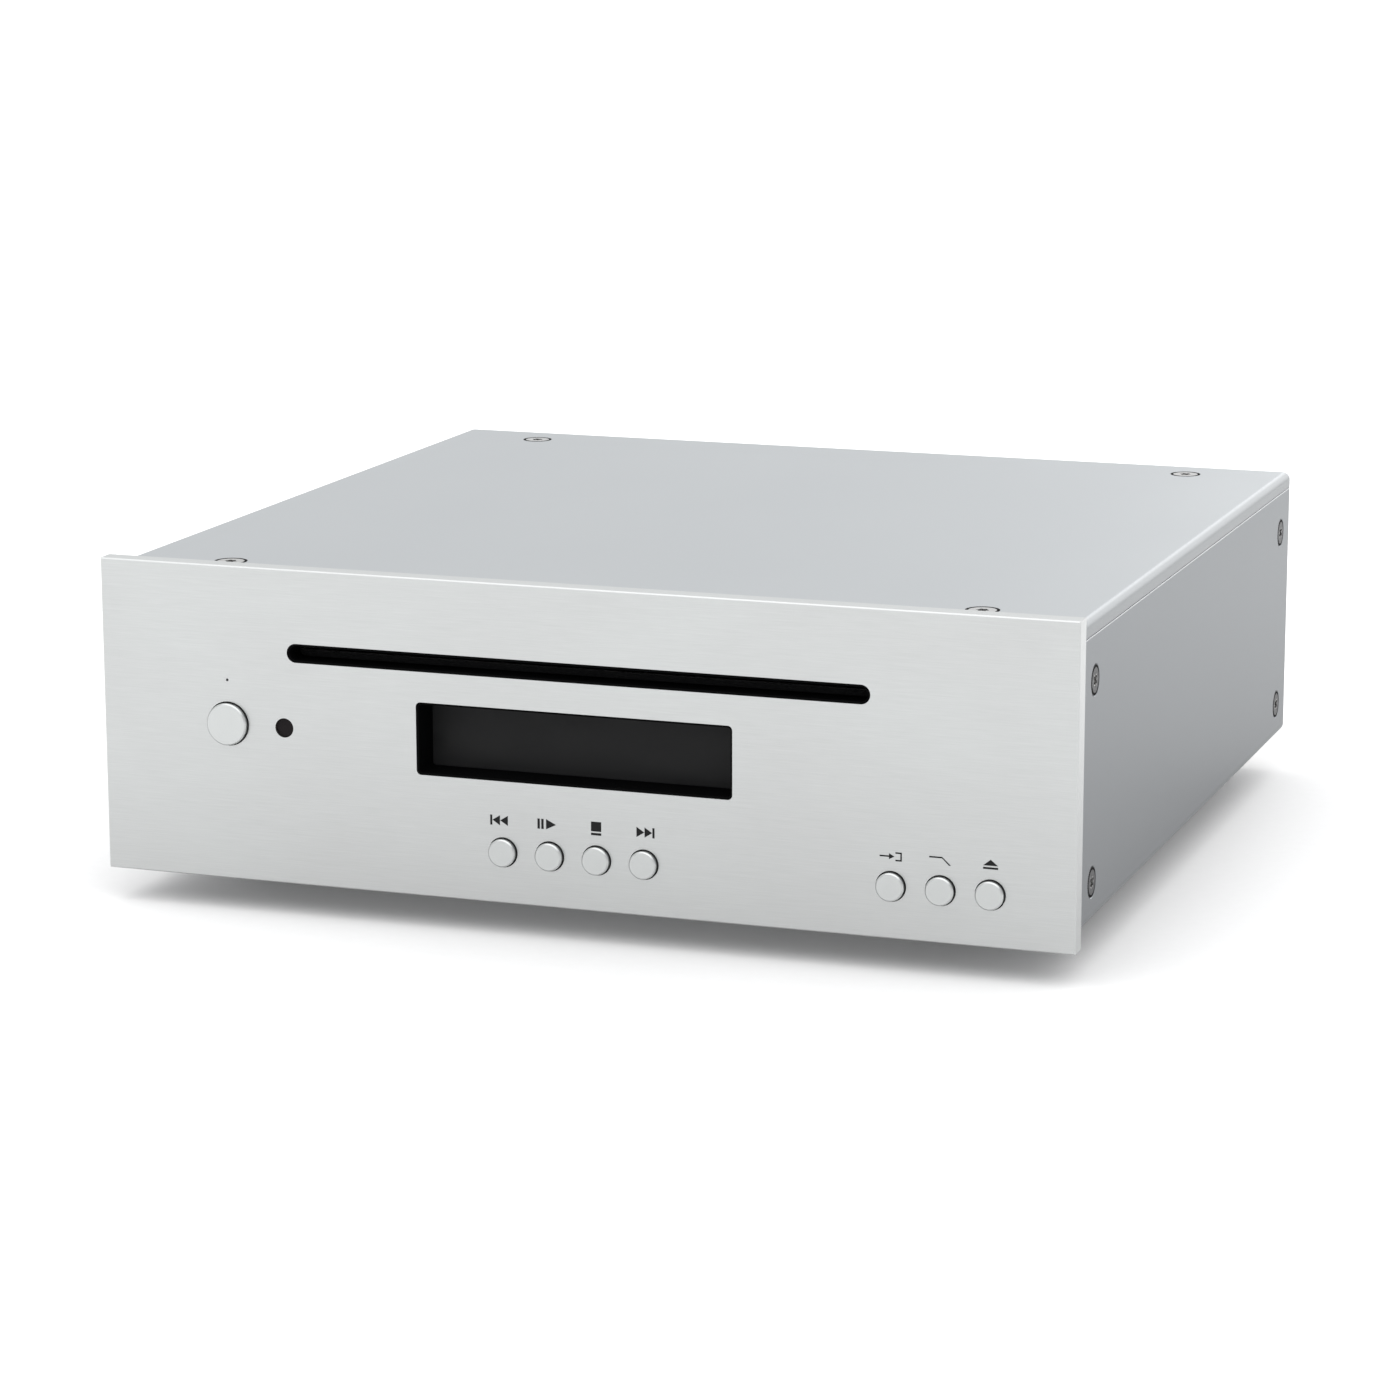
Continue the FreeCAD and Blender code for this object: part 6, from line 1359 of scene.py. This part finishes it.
@dataclass
class RearPanel(Assembly):
    """The rear panel with its sockets and printed lines.

    Attributes:
        outputs: Places of the two line sockets along X, left channel first.
        digital: Places of the two coaxial sockets.
        optical: Places of the two optical sockets.
        inlet: Place of the power inlet.
        level: The sockets' height.
        barrel: Length of a socket outside the panel.
        insert: Section of the insulator in a socket's mouth: radii, and depths behind its tip.
        contact: Section of the contact tube in it.
        washer: Radii and thickness of the washer under a socket's flange.
        tooth: Sizes of a tooth of the washer.
        teeth: Teeth around the washer.
        teeth_radius: Radius that they stand on.
        ink: Height of the printed film.
        sunk: How far the film reaches into the metal.
        stroke: Width of a frame's line.
        reach: From a socket's axis to the frame around its group.
        sign_rise: The arrows' and the polarity picture's height above the sockets.
        arrow: Half width and length of an arrow's head, half width and length of its shaft.
        pole: Radii of a ring of the polarity picture, and its distance from the middle.
        dot: Radius of the picture's dot.
        sign: Half width of the picture's lines, and half the size of its plus and minus.
    """

    outputs: Flat = (70.0, 54.0)
    digital: Flat = (30.0, -36.0)
    optical: Flat = (12.0, -18.0)
    inlet: float = -70.0
    level: float = 24.2
    barrel: float = 9.0
    insert: tuple[Flat, ...] = ((1.7, -0.9), (3.35, -0.9), (3.35, -0.3), (2.0, -0.3), (1.7, -0.5))
    contact: Edges = (1.3, 1.6, -8.0, -0.6)
    washer: Point = (5.7, 6.3, 0.35)
    tooth: Point = (0.5, 0.8, 0.3)
    teeth: int = 18
    teeth_radius: float = 6.35
    ink: float = 0.03
    sunk: float = 0.05
    stroke: float = 0.35
    reach: float = 9.0
    sign_rise: float = 14.0
    arrow: Edges = (1.3, 1.9, 0.35, 2.2)
    pole: Point = (1.5, 1.9, 4.5)
    dot: float = 0.6
    sign: Flat = (0.15, 0.9)

    def face(self) -> float:
        """The panel's outer face along Y, behind the sockets' flanges."""
        return self.ends("phono_sockets")[1].y - self.barrel

    def film(self) -> Flat:
        """Where the printed film starts and ends along Y."""
        return self.face() - self.sunk, self.face() + self.ink

    def inserts(self) -> None:
        """Adds the coloured insulators in the sockets' mouths and their contact tubes."""
        tip = self.ends("phono_sockets")[1].y
        profile = [(radius, tip + depth) for radius, depth in self.insert]
        inner, outer, deep, shallow = self.contact
        colours = (WHITE_PLASTIC, RED_PLASTIC, ORANGE_PLASTIC, ORANGE_PLASTIC)
        tubes = Shape()
        for i, (x, finish) in enumerate(zip(self.outputs + self.digital, colours)):
            shape = Shape()
            shape.lathe((x, 0, self.level), Axis.Y, profile, ring=True)
            self.add(shape, f"socket_insert_{i + 1}", finish, "black_plastic")
            tube = section(inner, outer, tip + deep, tip + shallow)
            tubes.lathe((x, 0, self.level), Axis.Y, tube, segments=24, ring=True)
        self.add(tubes, "socket_contacts", CONTACT_TIN, "socket_gold")

    def washers(self) -> None:
        """Adds a thin toothed washer under each socket's flange."""
        face = self.face()
        inner, outer, thick = self.washer
        shape = Shape()
        for x in self.outputs + self.digital:
            shape.lathe((x, 0, self.level), Axis.Y, section(inner, outer, face, face + thick), ring=True)
        ring = Repeats(Pattern.RING, self.tooth, self.teeth, radius=self.teeth_radius)
        spots = [(x, face + self.tooth[2] / 2, self.level) for x in self.outputs + self.digital]
        ring.lay(shape, "washer_tooth", CONTACT_TIN, [Matrix.Translation(spot) @ UPRIGHT for spot in spots])
        self.add(shape, "socket_washers", CONTACT_TIN, "rear_aluminium")

    def line(self, shape: Shape, x0: float, x1: float, z0: float, z1: float) -> None:
        """Prints a rectangle on the panel."""
        shape.plate([(x0, z0), (x1, z0), (x1, z1), (x0, z1)], Axis.Y, *self.film())

    def frame_round(self, shape: Shape, x0: float, x1: float) -> None:
        """Prints a thin frame around a group of sockets.

        Args:
            shape: The shape that takes the print.
            x0: The group's first socket along X.
            x1: Its last socket.
        """
        x0, x1, z0, z1 = x0 - self.reach, x1 + self.reach, self.level - self.reach, self.level + self.reach
        wide = self.stroke
        self.line(shape, x0, x1, z0, z0 + wide)
        self.line(shape, x0, x1, z1 - wide, z1)
        self.line(shape, x0, x0 + wide, z0 + wide, z1 - wide)
        self.line(shape, x1 - wide, x1, z0 + wide, z1 - wide)

    def way(self, shape: Shape, x: float, upward: bool) -> None:
        """Prints an arrow: up for sockets that send, down for sockets that receive.

        Args:
            shape: The shape that takes the print.
            x: The arrow's place along X.
            upward: True for an arrow that points up.
        """
        z = self.level + self.sign_rise
        sign = 1 if upward else -1
        half, head, shaft, tail = self.arrow
        shape.plate([(x - half, z), (x + half, z), (x, z + head * sign)], Axis.Y, *self.film())
        self.line(shape, x - shaft, x + shaft, min(z, z - tail * sign), max(z, z - tail * sign))

    def polarity(self, shape: Shape) -> None:
        """Prints the usual picture of which pole the inlet's pin is.

        Args:
            shape: The shape that takes the print.
        """
        x, z = self.inlet, self.level + self.sign_rise
        inner, outer, apart = self.pole
        half, reach = self.sign
        low, high = self.film()
        for spot in (x, x - apart, x + apart):
            shape.lathe((spot, 0, z), Axis.Y, section(inner, outer, low, high), segments=32, ring=True)
        shape.lathe((x, 0, z), Axis.Y, section(0.0, self.dot, low, high), segments=20)
        for spot in (x - apart, x + apart):
            self.line(shape, spot - reach, spot + reach, z - half, z + half)
        plus = x - apart
        for side in (-1, 1):
            link = sorted((x + side * outer, x + side * (apart - outer)))
            self.line(shape, *link, z - half, z + half)
            self.line(shape, plus - half, plus + half, *sorted((z + side * half, z + side * reach)))

    def prints(self) -> None:
        """Prints a frame and an arrow over each group, and the inlet's polarity picture."""
        shape = Shape()
        groups = ((self.outputs[1], self.outputs[0], True), (self.optical[0], self.digital[0], True),
                  (self.digital[1], self.optical[1], False))
        for x0, x1, sends in groups:
            self.frame_round(shape, x0, x1)
            self.way(shape, (x0 + x1) / 2, sends)
        self.frame_round(shape, self.inlet, self.inlet)
        self.polarity(shape)
        self.add(shape, "rear_prints", DARK_INK, "rear_aluminium", smooth=0)

    def build(self) -> None:
        """Dresses the rear and adds its details."""
        self.dress(REAR_ALUMINIUM, "rear_panel")
        self.dress(SOCKET_GOLD, "phono_sockets")
        self.dress(BLACK_PLASTIC, "socket_blocks", "power_inlet")
        self.dress(DARK_PLASTIC, "optical_sockets")
        self.dress(CHIP_RESIN, "optical_out_flap", "optical_in_flap")
        self.inserts()
        self.washers()
        self.prints()


@dataclass(frozen=True)
class Patch:
    """An area of a board that holds small parts.

    Attributes:
        across: Its middle along X, as a share of the main board's half width or in millimetres on the front
            board.
        back: Its middle along Y on the main board, as a share of the board's length.
        wide: Its width in millimetres.
        deep: Its other side in millimetres.
        seed: The random seed of its parts.
    """

    across: float
    back: float
    wide: float
    deep: float
    seed: int


@dataclass
class Electronics(Assembly):
    """Both circuit boards and what stands on them.

    Attributes:
        leg: Sizes of a chip's leg.
        leg_pitch: Pitch of a chip's legs.
        leg_margin: What the rows of legs leave free of a side.
        leg_place: The legs' middle outside the package and above the board.
        side: Side of the largest package.
        chips: Across, back, width and depth of each package, as shares.
        reservoir: Radius and height of a reservoir capacitor.
        reservoirs: How many there are, and where the first stands across, as a share.
        reservoir_gap: Room between two of them.
        coupling: Radius and height of a coupling capacitor.
        cans: Across and back places of the coupling capacitors, as shares.
        can_top: Section of a capacitor's top: shares of its radius, and heights about the sleeve's end.
        score: Half sizes of a score on it, as shares of its radius.
        score_ends: Where the score starts and ends above the sleeve's end.
        small_part: Sizes of the largest small part.
        small_part_rise: Their middle above the board.
        main_apart: The least distance between two of them on the main board.
        main_patches: Where they lie on it.
        front_apart: The least distance between two of them on the front board.
        front_patches: Where they lie on it.
        conductors: Conductors of the ribbon cable.
        conductor: Sizes of a conductor's raised line.
        conductor_place: The first one's place from the cable's side, the front board and the cable's top.
    """

    leg: Point = (0.3, 0.9, 0.22)
    leg_pitch: float = 0.8
    leg_margin: float = 1.2
    leg_place: Flat = (0.42, 0.14)
    side: float = 14.0
    chips: tuple[Edges, ...] = (
        (-0.25, 0.26, 1.0, 1.0), (0.25, 0.234, 0.86, 0.86), (0.6, 0.546, 0.72, 0.5),
        (0.375, 0.676, 0.58, 0.43), (0.725, 0.39, 0.58, 0.36), (-0.65, 0.195, 0.64, 0.43),
    )
    reservoir: Flat = (6.0, 18.0)
    reservoirs: tuple[int, float] = (4, -0.65)
    reservoir_gap: float = 2.0
    coupling: Flat = (3.2, 8.0)
    cans: tuple[Flat, ...] = (
        (0.55, 0.676), (0.65, 0.676), (0.75, 0.676), (0.85, 0.676), (-0.75, 0.39), (-0.75, 0.455),
        (-0.625, 0.403), (0.825, 0.494), (0.825, 0.429),
    )
    can_top: tuple[Flat, ...] = ((0.0, -0.2), (0.8, -0.2), (0.8, 0.05), (0.74, 0.12), (0.0, 0.12))
    score: Flat = (0.6, 0.04)
    score_ends: Flat = (0.1, 0.18)
    small_part: Point = (1.6, 0.85, 0.6)
    small_part_rise: float = 0.25
    main_apart: float = 2.6
    main_patches: tuple[Patch, ...] = (
        Patch(-0.02, 0.36, 46.0, 18.0, 3), Patch(0.5, 0.16, 30.0, 22.0, 4), Patch(-0.5, 0.62, 40.0, 34.0, 5),
        Patch(0.1, 0.6, 34.0, 30.0, 6), Patch(-0.72, 0.28, 14.0, 10.0, 7), Patch(0.5, 0.36, 26.0, 14.0, 8),
    )
    front_apart: float = 3.4
    front_patches: tuple[Patch, ...] = (Patch(-48.0, 0.0, 56.0, 24.0, 21), Patch(48.0, 0.0, 56.0, 24.0, 22))
    conductors: int = 24
    conductor: Point = (0.55, 2.6, 0.08)
    conductor_place: Point = (1.0, 5.5, 0.02)

    def spot(self, across: float, back: float) -> Vector:
        """A place on the main board's top from shares of its half width and length."""
        low, high = self.ends("main_board")
        return Vector((across * high.x, low.y + back * (high.y - low.y), high.z))

    def chip_legs(self) -> None:
        """Adds the rows of legs along the sides of every package."""
        outside, up = self.leg_place
        shape = Shape()
        for across, back, width, depth in self.chips:
            spot = Matrix.Translation(self.spot(across, back))
            half_x, half_y = width * self.side / 2, depth * self.side / 2
            for half, other, turn in ((half_x, half_y, 0), (half_y, half_x, 90)):
                # Only a square package has legs on all four sides.
                if turn and width != depth:
                    continue
                count = int((2 * half - self.leg_margin) / self.leg_pitch) + 1
                first = -self.leg_pitch * (count - 1) / 2
                place = spot @ Matrix.Rotation(math.radians(turn), 4, "Z")
                ends = [(first, side * (other + outside), up) for side in (-1, 1)]
                row = Repeats(Pattern.LINE, self.leg, count, step=(self.leg_pitch, 0.0, 0.0))
                row.lay(shape, "chip_legs", CONTACT_TIN, [place @ Matrix.Translation(end) for end in ends])
        self.add(shape, "chip_legs", CONTACT_TIN, "socket_gold", smooth=0)

    def scatter(self, shape: Shape, patch: Patch, apart: float, place: Matrix) -> None:
        """Scatters small parts over a patch of a board.

        Args:
            shape: The shape that takes them.
            patch: The patch.
            apart: The least distance between two parts.
            place: Where the patch's middle goes.
        """
        spread = Repeats(Pattern.SCATTER, self.small_part, step=(patch.wide, patch.deep, 0.0), radius=apart,
                         vary=0.45, seed=patch.seed)
        spread.lay(shape, "small_parts", CERAMIC, [place])

    def small_parts(self) -> None:
        """Scatters the small parts of both boards where nothing else stands."""
        rise = self.small_part_rise
        shape = Shape()
        for patch in self.main_patches:
            spot = self.spot(patch.across, patch.back) + Vector((0, 0, rise))
            self.scatter(shape, patch, self.main_apart, Matrix.Translation(spot))
        self.add(shape, "main_board_parts", CERAMIC, "black_plastic", smooth=0)
        back, level = self.ends("front_board")[1].y, self.middle("front_board").z
        shape = Shape()
        for patch in self.front_patches:
            place = Matrix.Translation((patch.across, back + rise, level)) @ UPRIGHT
            self.scatter(shape, patch, self.front_apart, place)
        self.add(shape, "front_board_parts", CERAMIC, "black_plastic", smooth=0)

    def can_tops(self) -> None:
        """Adds the scored aluminium tops of the upright capacitors."""
        low, high = self.ends("capacitors")
        shape = Shape()
        radius = self.reservoir[0]
        count, first = self.reservoirs
        x, y, step = self.spot(first, 0).x, high.y - radius, 2 * radius + self.reservoir_gap
        cans = [(Vector((x + i * step, y, 0)), *self.reservoir) for i in range(count)]
        cans += [(self.spot(across, back), *self.coupling) for across, back in self.cans]
        bottom, tip = self.score_ends
        for spot, radius, height in cans:
            top = low.z + height
            profile = [(radius * share, top + up) for share, up in self.can_top]
            shape.lathe((spot.x, spot.y, 0), Axis.Z, profile, segments=32)
            for wide, deep in (self.score, self.score[::-1]):
                shape.block((spot.x - radius * wide, spot.y - radius * deep, top + bottom),
                            (spot.x + radius * wide, spot.y + radius * deep, top + tip))
        self.add(shape, "capacitor_tops", CAN_TOP, "capacitor_sleeve")

    def ribbon_lines(self) -> None:
        """Adds the raised conductors along the flat run of the ribbon cable."""
        low, high = self.ends("ribbon_cable")
        side, back, up = self.conductor_place
        pitch = (high.x - low.x - 2 * side) / (self.conductors - 1)
        row = Repeats(Pattern.LINE, self.conductor, self.conductors, step=(pitch, 0.0, 0.0))
        spot = (low.x + side, self.ends("front_board")[1].y + back, high.z + up)
        shape = Shape()
        row.lay(shape, "ribbon_lines", RIBBON, [Matrix.Translation(spot)])
        self.add(shape, "ribbon_lines", RIBBON, "ribbon_plastic", smooth=0)

    def build(self) -> None:
        """Dresses the boards and adds their parts."""
        self.dress(FRONT_LAMINATE, "front_board")
        self.dress(MAIN_LAMINATE, "main_board")
        self.dress(CHIP_RESIN, "processors", "front_components")
        self.dress(SLEEVE, "capacitors")
        self.dress(HEATSINK, "heatsink")
        self.dress(RIBBON, "ribbon_cable")
        self.dress(SPACER_BRASS, "standoffs")
        self.chip_legs()
        self.small_parts()
        self.can_tops()
        self.ribbon_lines()


@dataclass
class Loader(Assembly):
    """The disc loader: its case, roller, clamp, turntable and pick-up sled.

    Attributes:
        beads: Stiffening beads on each side of the loader's cover.
        bead: Sizes of one bead.
        bead_pitch: Bead to bead.
        bead_middle: The middle bead's distance from the cover's middle.
        ring: Section of the ring round the lens: shares of the lens's radius, and heights about its top.
    """

    beads: int = 5
    bead: Point = (1.6, 34.0, 0.5)
    bead_pitch: float = 6.0
    bead_middle: float = 52.0
    ring: tuple[Flat, ...] = ((0.72, -0.1), (0.95, -0.1), (0.95, 0.08), (0.78, 0.08))

    def cover_beads(self) -> None:
        """Adds the pressed beads on both sides of the loader's cover."""
        middle, top = self.middle("loader_cover"), self.ends("loader_cover")[1].z
        reach = self.bead_pitch * (self.beads - 1) / 2
        row = Repeats(Pattern.LINE, self.bead, self.beads, step=(self.bead_pitch, 0.0, 0.0))
        shape = Shape()
        row.lay(shape, "bead", LOADER_ZINC,
                [Matrix.Translation((side * self.bead_middle - reach, middle.y, top)) for side in (-1, 1)])
        self.add(shape, "cover_beads", LOADER_ZINC, "loader_steel", smooth=0)

    def lens_ring(self) -> None:
        """Adds the metal ring round the objective lens."""
        low, high = self.ends("objective_lens")
        middle = self.middle("objective_lens")
        radius = (high.x - low.x) / 2
        profile = [(radius * share, high.z + up) for share, up in self.ring]
        shape = Shape()
        shape.lathe((middle.x, middle.y, 0), Axis.Z, profile, segments=36, ring=True)
        self.add(shape, "lens_ring", CONTACT_TIN, "lamp_plastic", body="objective_lens")

    def build(self) -> None:
        """Dresses the mechanism and adds its small details."""
        self.dress(LOADER_ZINC, "loader_base", "loader_cover", "traverse_plate", "clamp_arm",
                   "roller_bracket", "shift_slide")
        self.dress(MOTOR_STEEL, "spindle_motor", "sled_motor", "loading_motor")
        self.dress(ROD_STEEL, "guide_rods")
        self.dress(BLACK_PLASTIC, "disc_guide")
        self.dress(SOFT_RUBBER, "rubber_mounts", "loading_roller")
        self.dress(DARK_PLASTIC, "turntable", "pickup_sled")
        self.dress(NATURAL_PLASTIC, "sled_gear", "sled_pinion", "clamp_puck", "roller_shaft", "idler_gear",
                   "loading_pinion")
        self.dress(LENS, "objective_lens")
        self.cover_beads()
        self.lens_ring()


@dataclass(frozen=True)
class Sun:
    """A broad soft light from one side.

    Attributes:
        name: The light's name.
        towards: Where the light comes from.
        strength: Its strength.
        spread: Its angular size in degrees.
    """

    name: str
    towards: Point
    strength: float
    spread: float

    def place(self) -> None:
        """Makes the light."""
        light = bpy.data.lights.new(self.name, "SUN")
        light.energy = self.strength
        light.angle = math.radians(self.spread)
        made = bpy.data.objects.new(self.name, light)
        made.rotation_mode = "QUATERNION"
        made.rotation_quaternion = Vector(self.towards).to_track_quat("Z", "Y")
        bpy.context.scene.collection.objects.link(made)


@dataclass
class Studio:
    """The pale floor, the soft light and the camera.

    Attributes:
        floor_radius: Radius of the floor in metres.
        camera_place: The camera's place in millimetres.
        azimuth: The camera's turn about Z in degrees.
        elevation: How far it looks down.
        roll: Its roll.
        focal: Its focal length in millimetres.
        sensor: Width of its frame in millimetres.
        clip: Its nearest and farthest view in metres.
        horizon: Brightness of the room at eye level.
        zenith: Brightness of its ceiling.
        rise: Heights over which it changes from one to the other.
        dim_side: Share of that light left on the player's right.
        dim_reach: How far to the right it starts to fall, and where it ends.
        tint: The room's colour.
        suns: The lights.
    """

    floor_radius: float = 20.0
    camera_place: Point = (299.402, -867.943, 230.01)
    azimuth: float = 19.544
    elevation: float = 12.36
    roll: float = -0.113
    focal: float = 109.925
    sensor: float = 36.0
    clip: Flat = (0.05, 40.0)
    horizon: float = 1.13
    zenith: float = 1.2
    rise: Flat = (0.0, 0.7)
    dim_side: float = 0.7
    dim_reach: Flat = (0.1, 1.0)
    tint: Colour = (0.985, 0.995, 1.0)
    suns: tuple[Sun, ...] = (
        Sun("key_light", (0.1, -0.3, 1.0), 1.4, 80.0),
        Sun("back_light", (0.2, 0.95, 0.36), 0.62, 44.0),
    )

    def floor(self) -> None:
        """Makes the floor, which isn't part of the player."""
        mesh = bmesh.new()
        bmesh.ops.create_circle(mesh, cap_ends=True, segments=96, radius=self.floor_radius)
        data = bpy.data.meshes.new("floor")
        mesh.to_mesh(data)
        mesh.free()
        data.materials.append(FLOOR_PAPER.material())
        made = bpy.data.objects.new("floor", data)
        bpy.context.scene.collection.objects.link(made)

    def room(self) -> None:
        """Sets the room's soft light, brightest overhead and dimmer on the right."""
        world = bpy.data.worlds.new("room")
        bpy.context.scene.world = world
        world.use_nodes = True
        nodes, links = world.node_tree.nodes, world.node_tree.links
        towards = nodes.new("ShaderNodeSeparateXYZ")
        links.new(nodes.new("ShaderNodeTexCoord").outputs["Generated"], towards.inputs[0])
        product = nodes.new("ShaderNodeMath")
        product.operation = "MULTIPLY"
        ranges = {"Z": (*self.rise, self.horizon, self.zenith), "X": (*self.dim_reach, 1.0, self.dim_side)}
        for factor, (side, numbers) in zip(product.inputs, ranges.items()):
            span = nodes.new("ShaderNodeMapRange")
            span.interpolation_type = "SMOOTHSTEP"
            for key, value in zip(RANGE_ENDS, numbers):
                span.inputs[key].default_value = value
            links.new(towards.outputs[side], span.inputs["Value"])
            links.new(span.outputs["Result"], factor)
        shade = nodes["Background"]
        shade.inputs["Color"].default_value = (*self.tint, 1.0)
        links.new(product.outputs[0], shade.inputs["Strength"])
        bpy.context.scene.view_settings.view_transform = "Standard"

    def camera(self) -> None:
        """Makes the camera and sets it as the scene's."""
        data = bpy.data.cameras.new("camera")
        data.sensor_width = self.sensor
        data.lens = self.focal
        data.clip_start, data.clip_end = self.clip
        azimuth, elevation, roll = (math.radians(a) for a in (self.azimuth, self.elevation, self.roll))
        right = Vector((math.cos(azimuth), math.sin(azimuth), 0.0))
        back = Vector((math.sin(azimuth) * math.cos(elevation), -math.cos(azimuth) * math.cos(elevation),
                       math.sin(elevation)))
        up = back.cross(right)
        turned = (right * math.cos(roll) + up * math.sin(roll),
                  up * math.cos(roll) - right * math.sin(roll), back)
        made = bpy.data.objects.new("camera", data)
        place = Matrix.Translation(Vector(self.camera_place) * MM)
        made.matrix_world = place @ Matrix(turned).transposed().to_4x4()
        bpy.context.scene.collection.objects.link(made)
        bpy.context.scene.camera = made

    def build(self) -> None:
        """Makes the floor, the light and the camera."""
        self.camera()
        self.floor()
        self.room()
        for sun in self.suns:
            sun.place()
        log.info("made the studio with %d lights", len(self.suns))


def main() -> None:
    """Builds the studio and every sub-assembly."""
    logging.basicConfig(level=logging.INFO, format="%(name)s: %(message)s")
    parts = (Studio(), Fascia(), Keys(), Display(), DiscSlot(), Case(), RearPanel(), Electronics(), Loader())
    for part in parts:
        log.info("building %s", type(part).__name__)
        part.build()


if __name__ == "__main__":
    main()
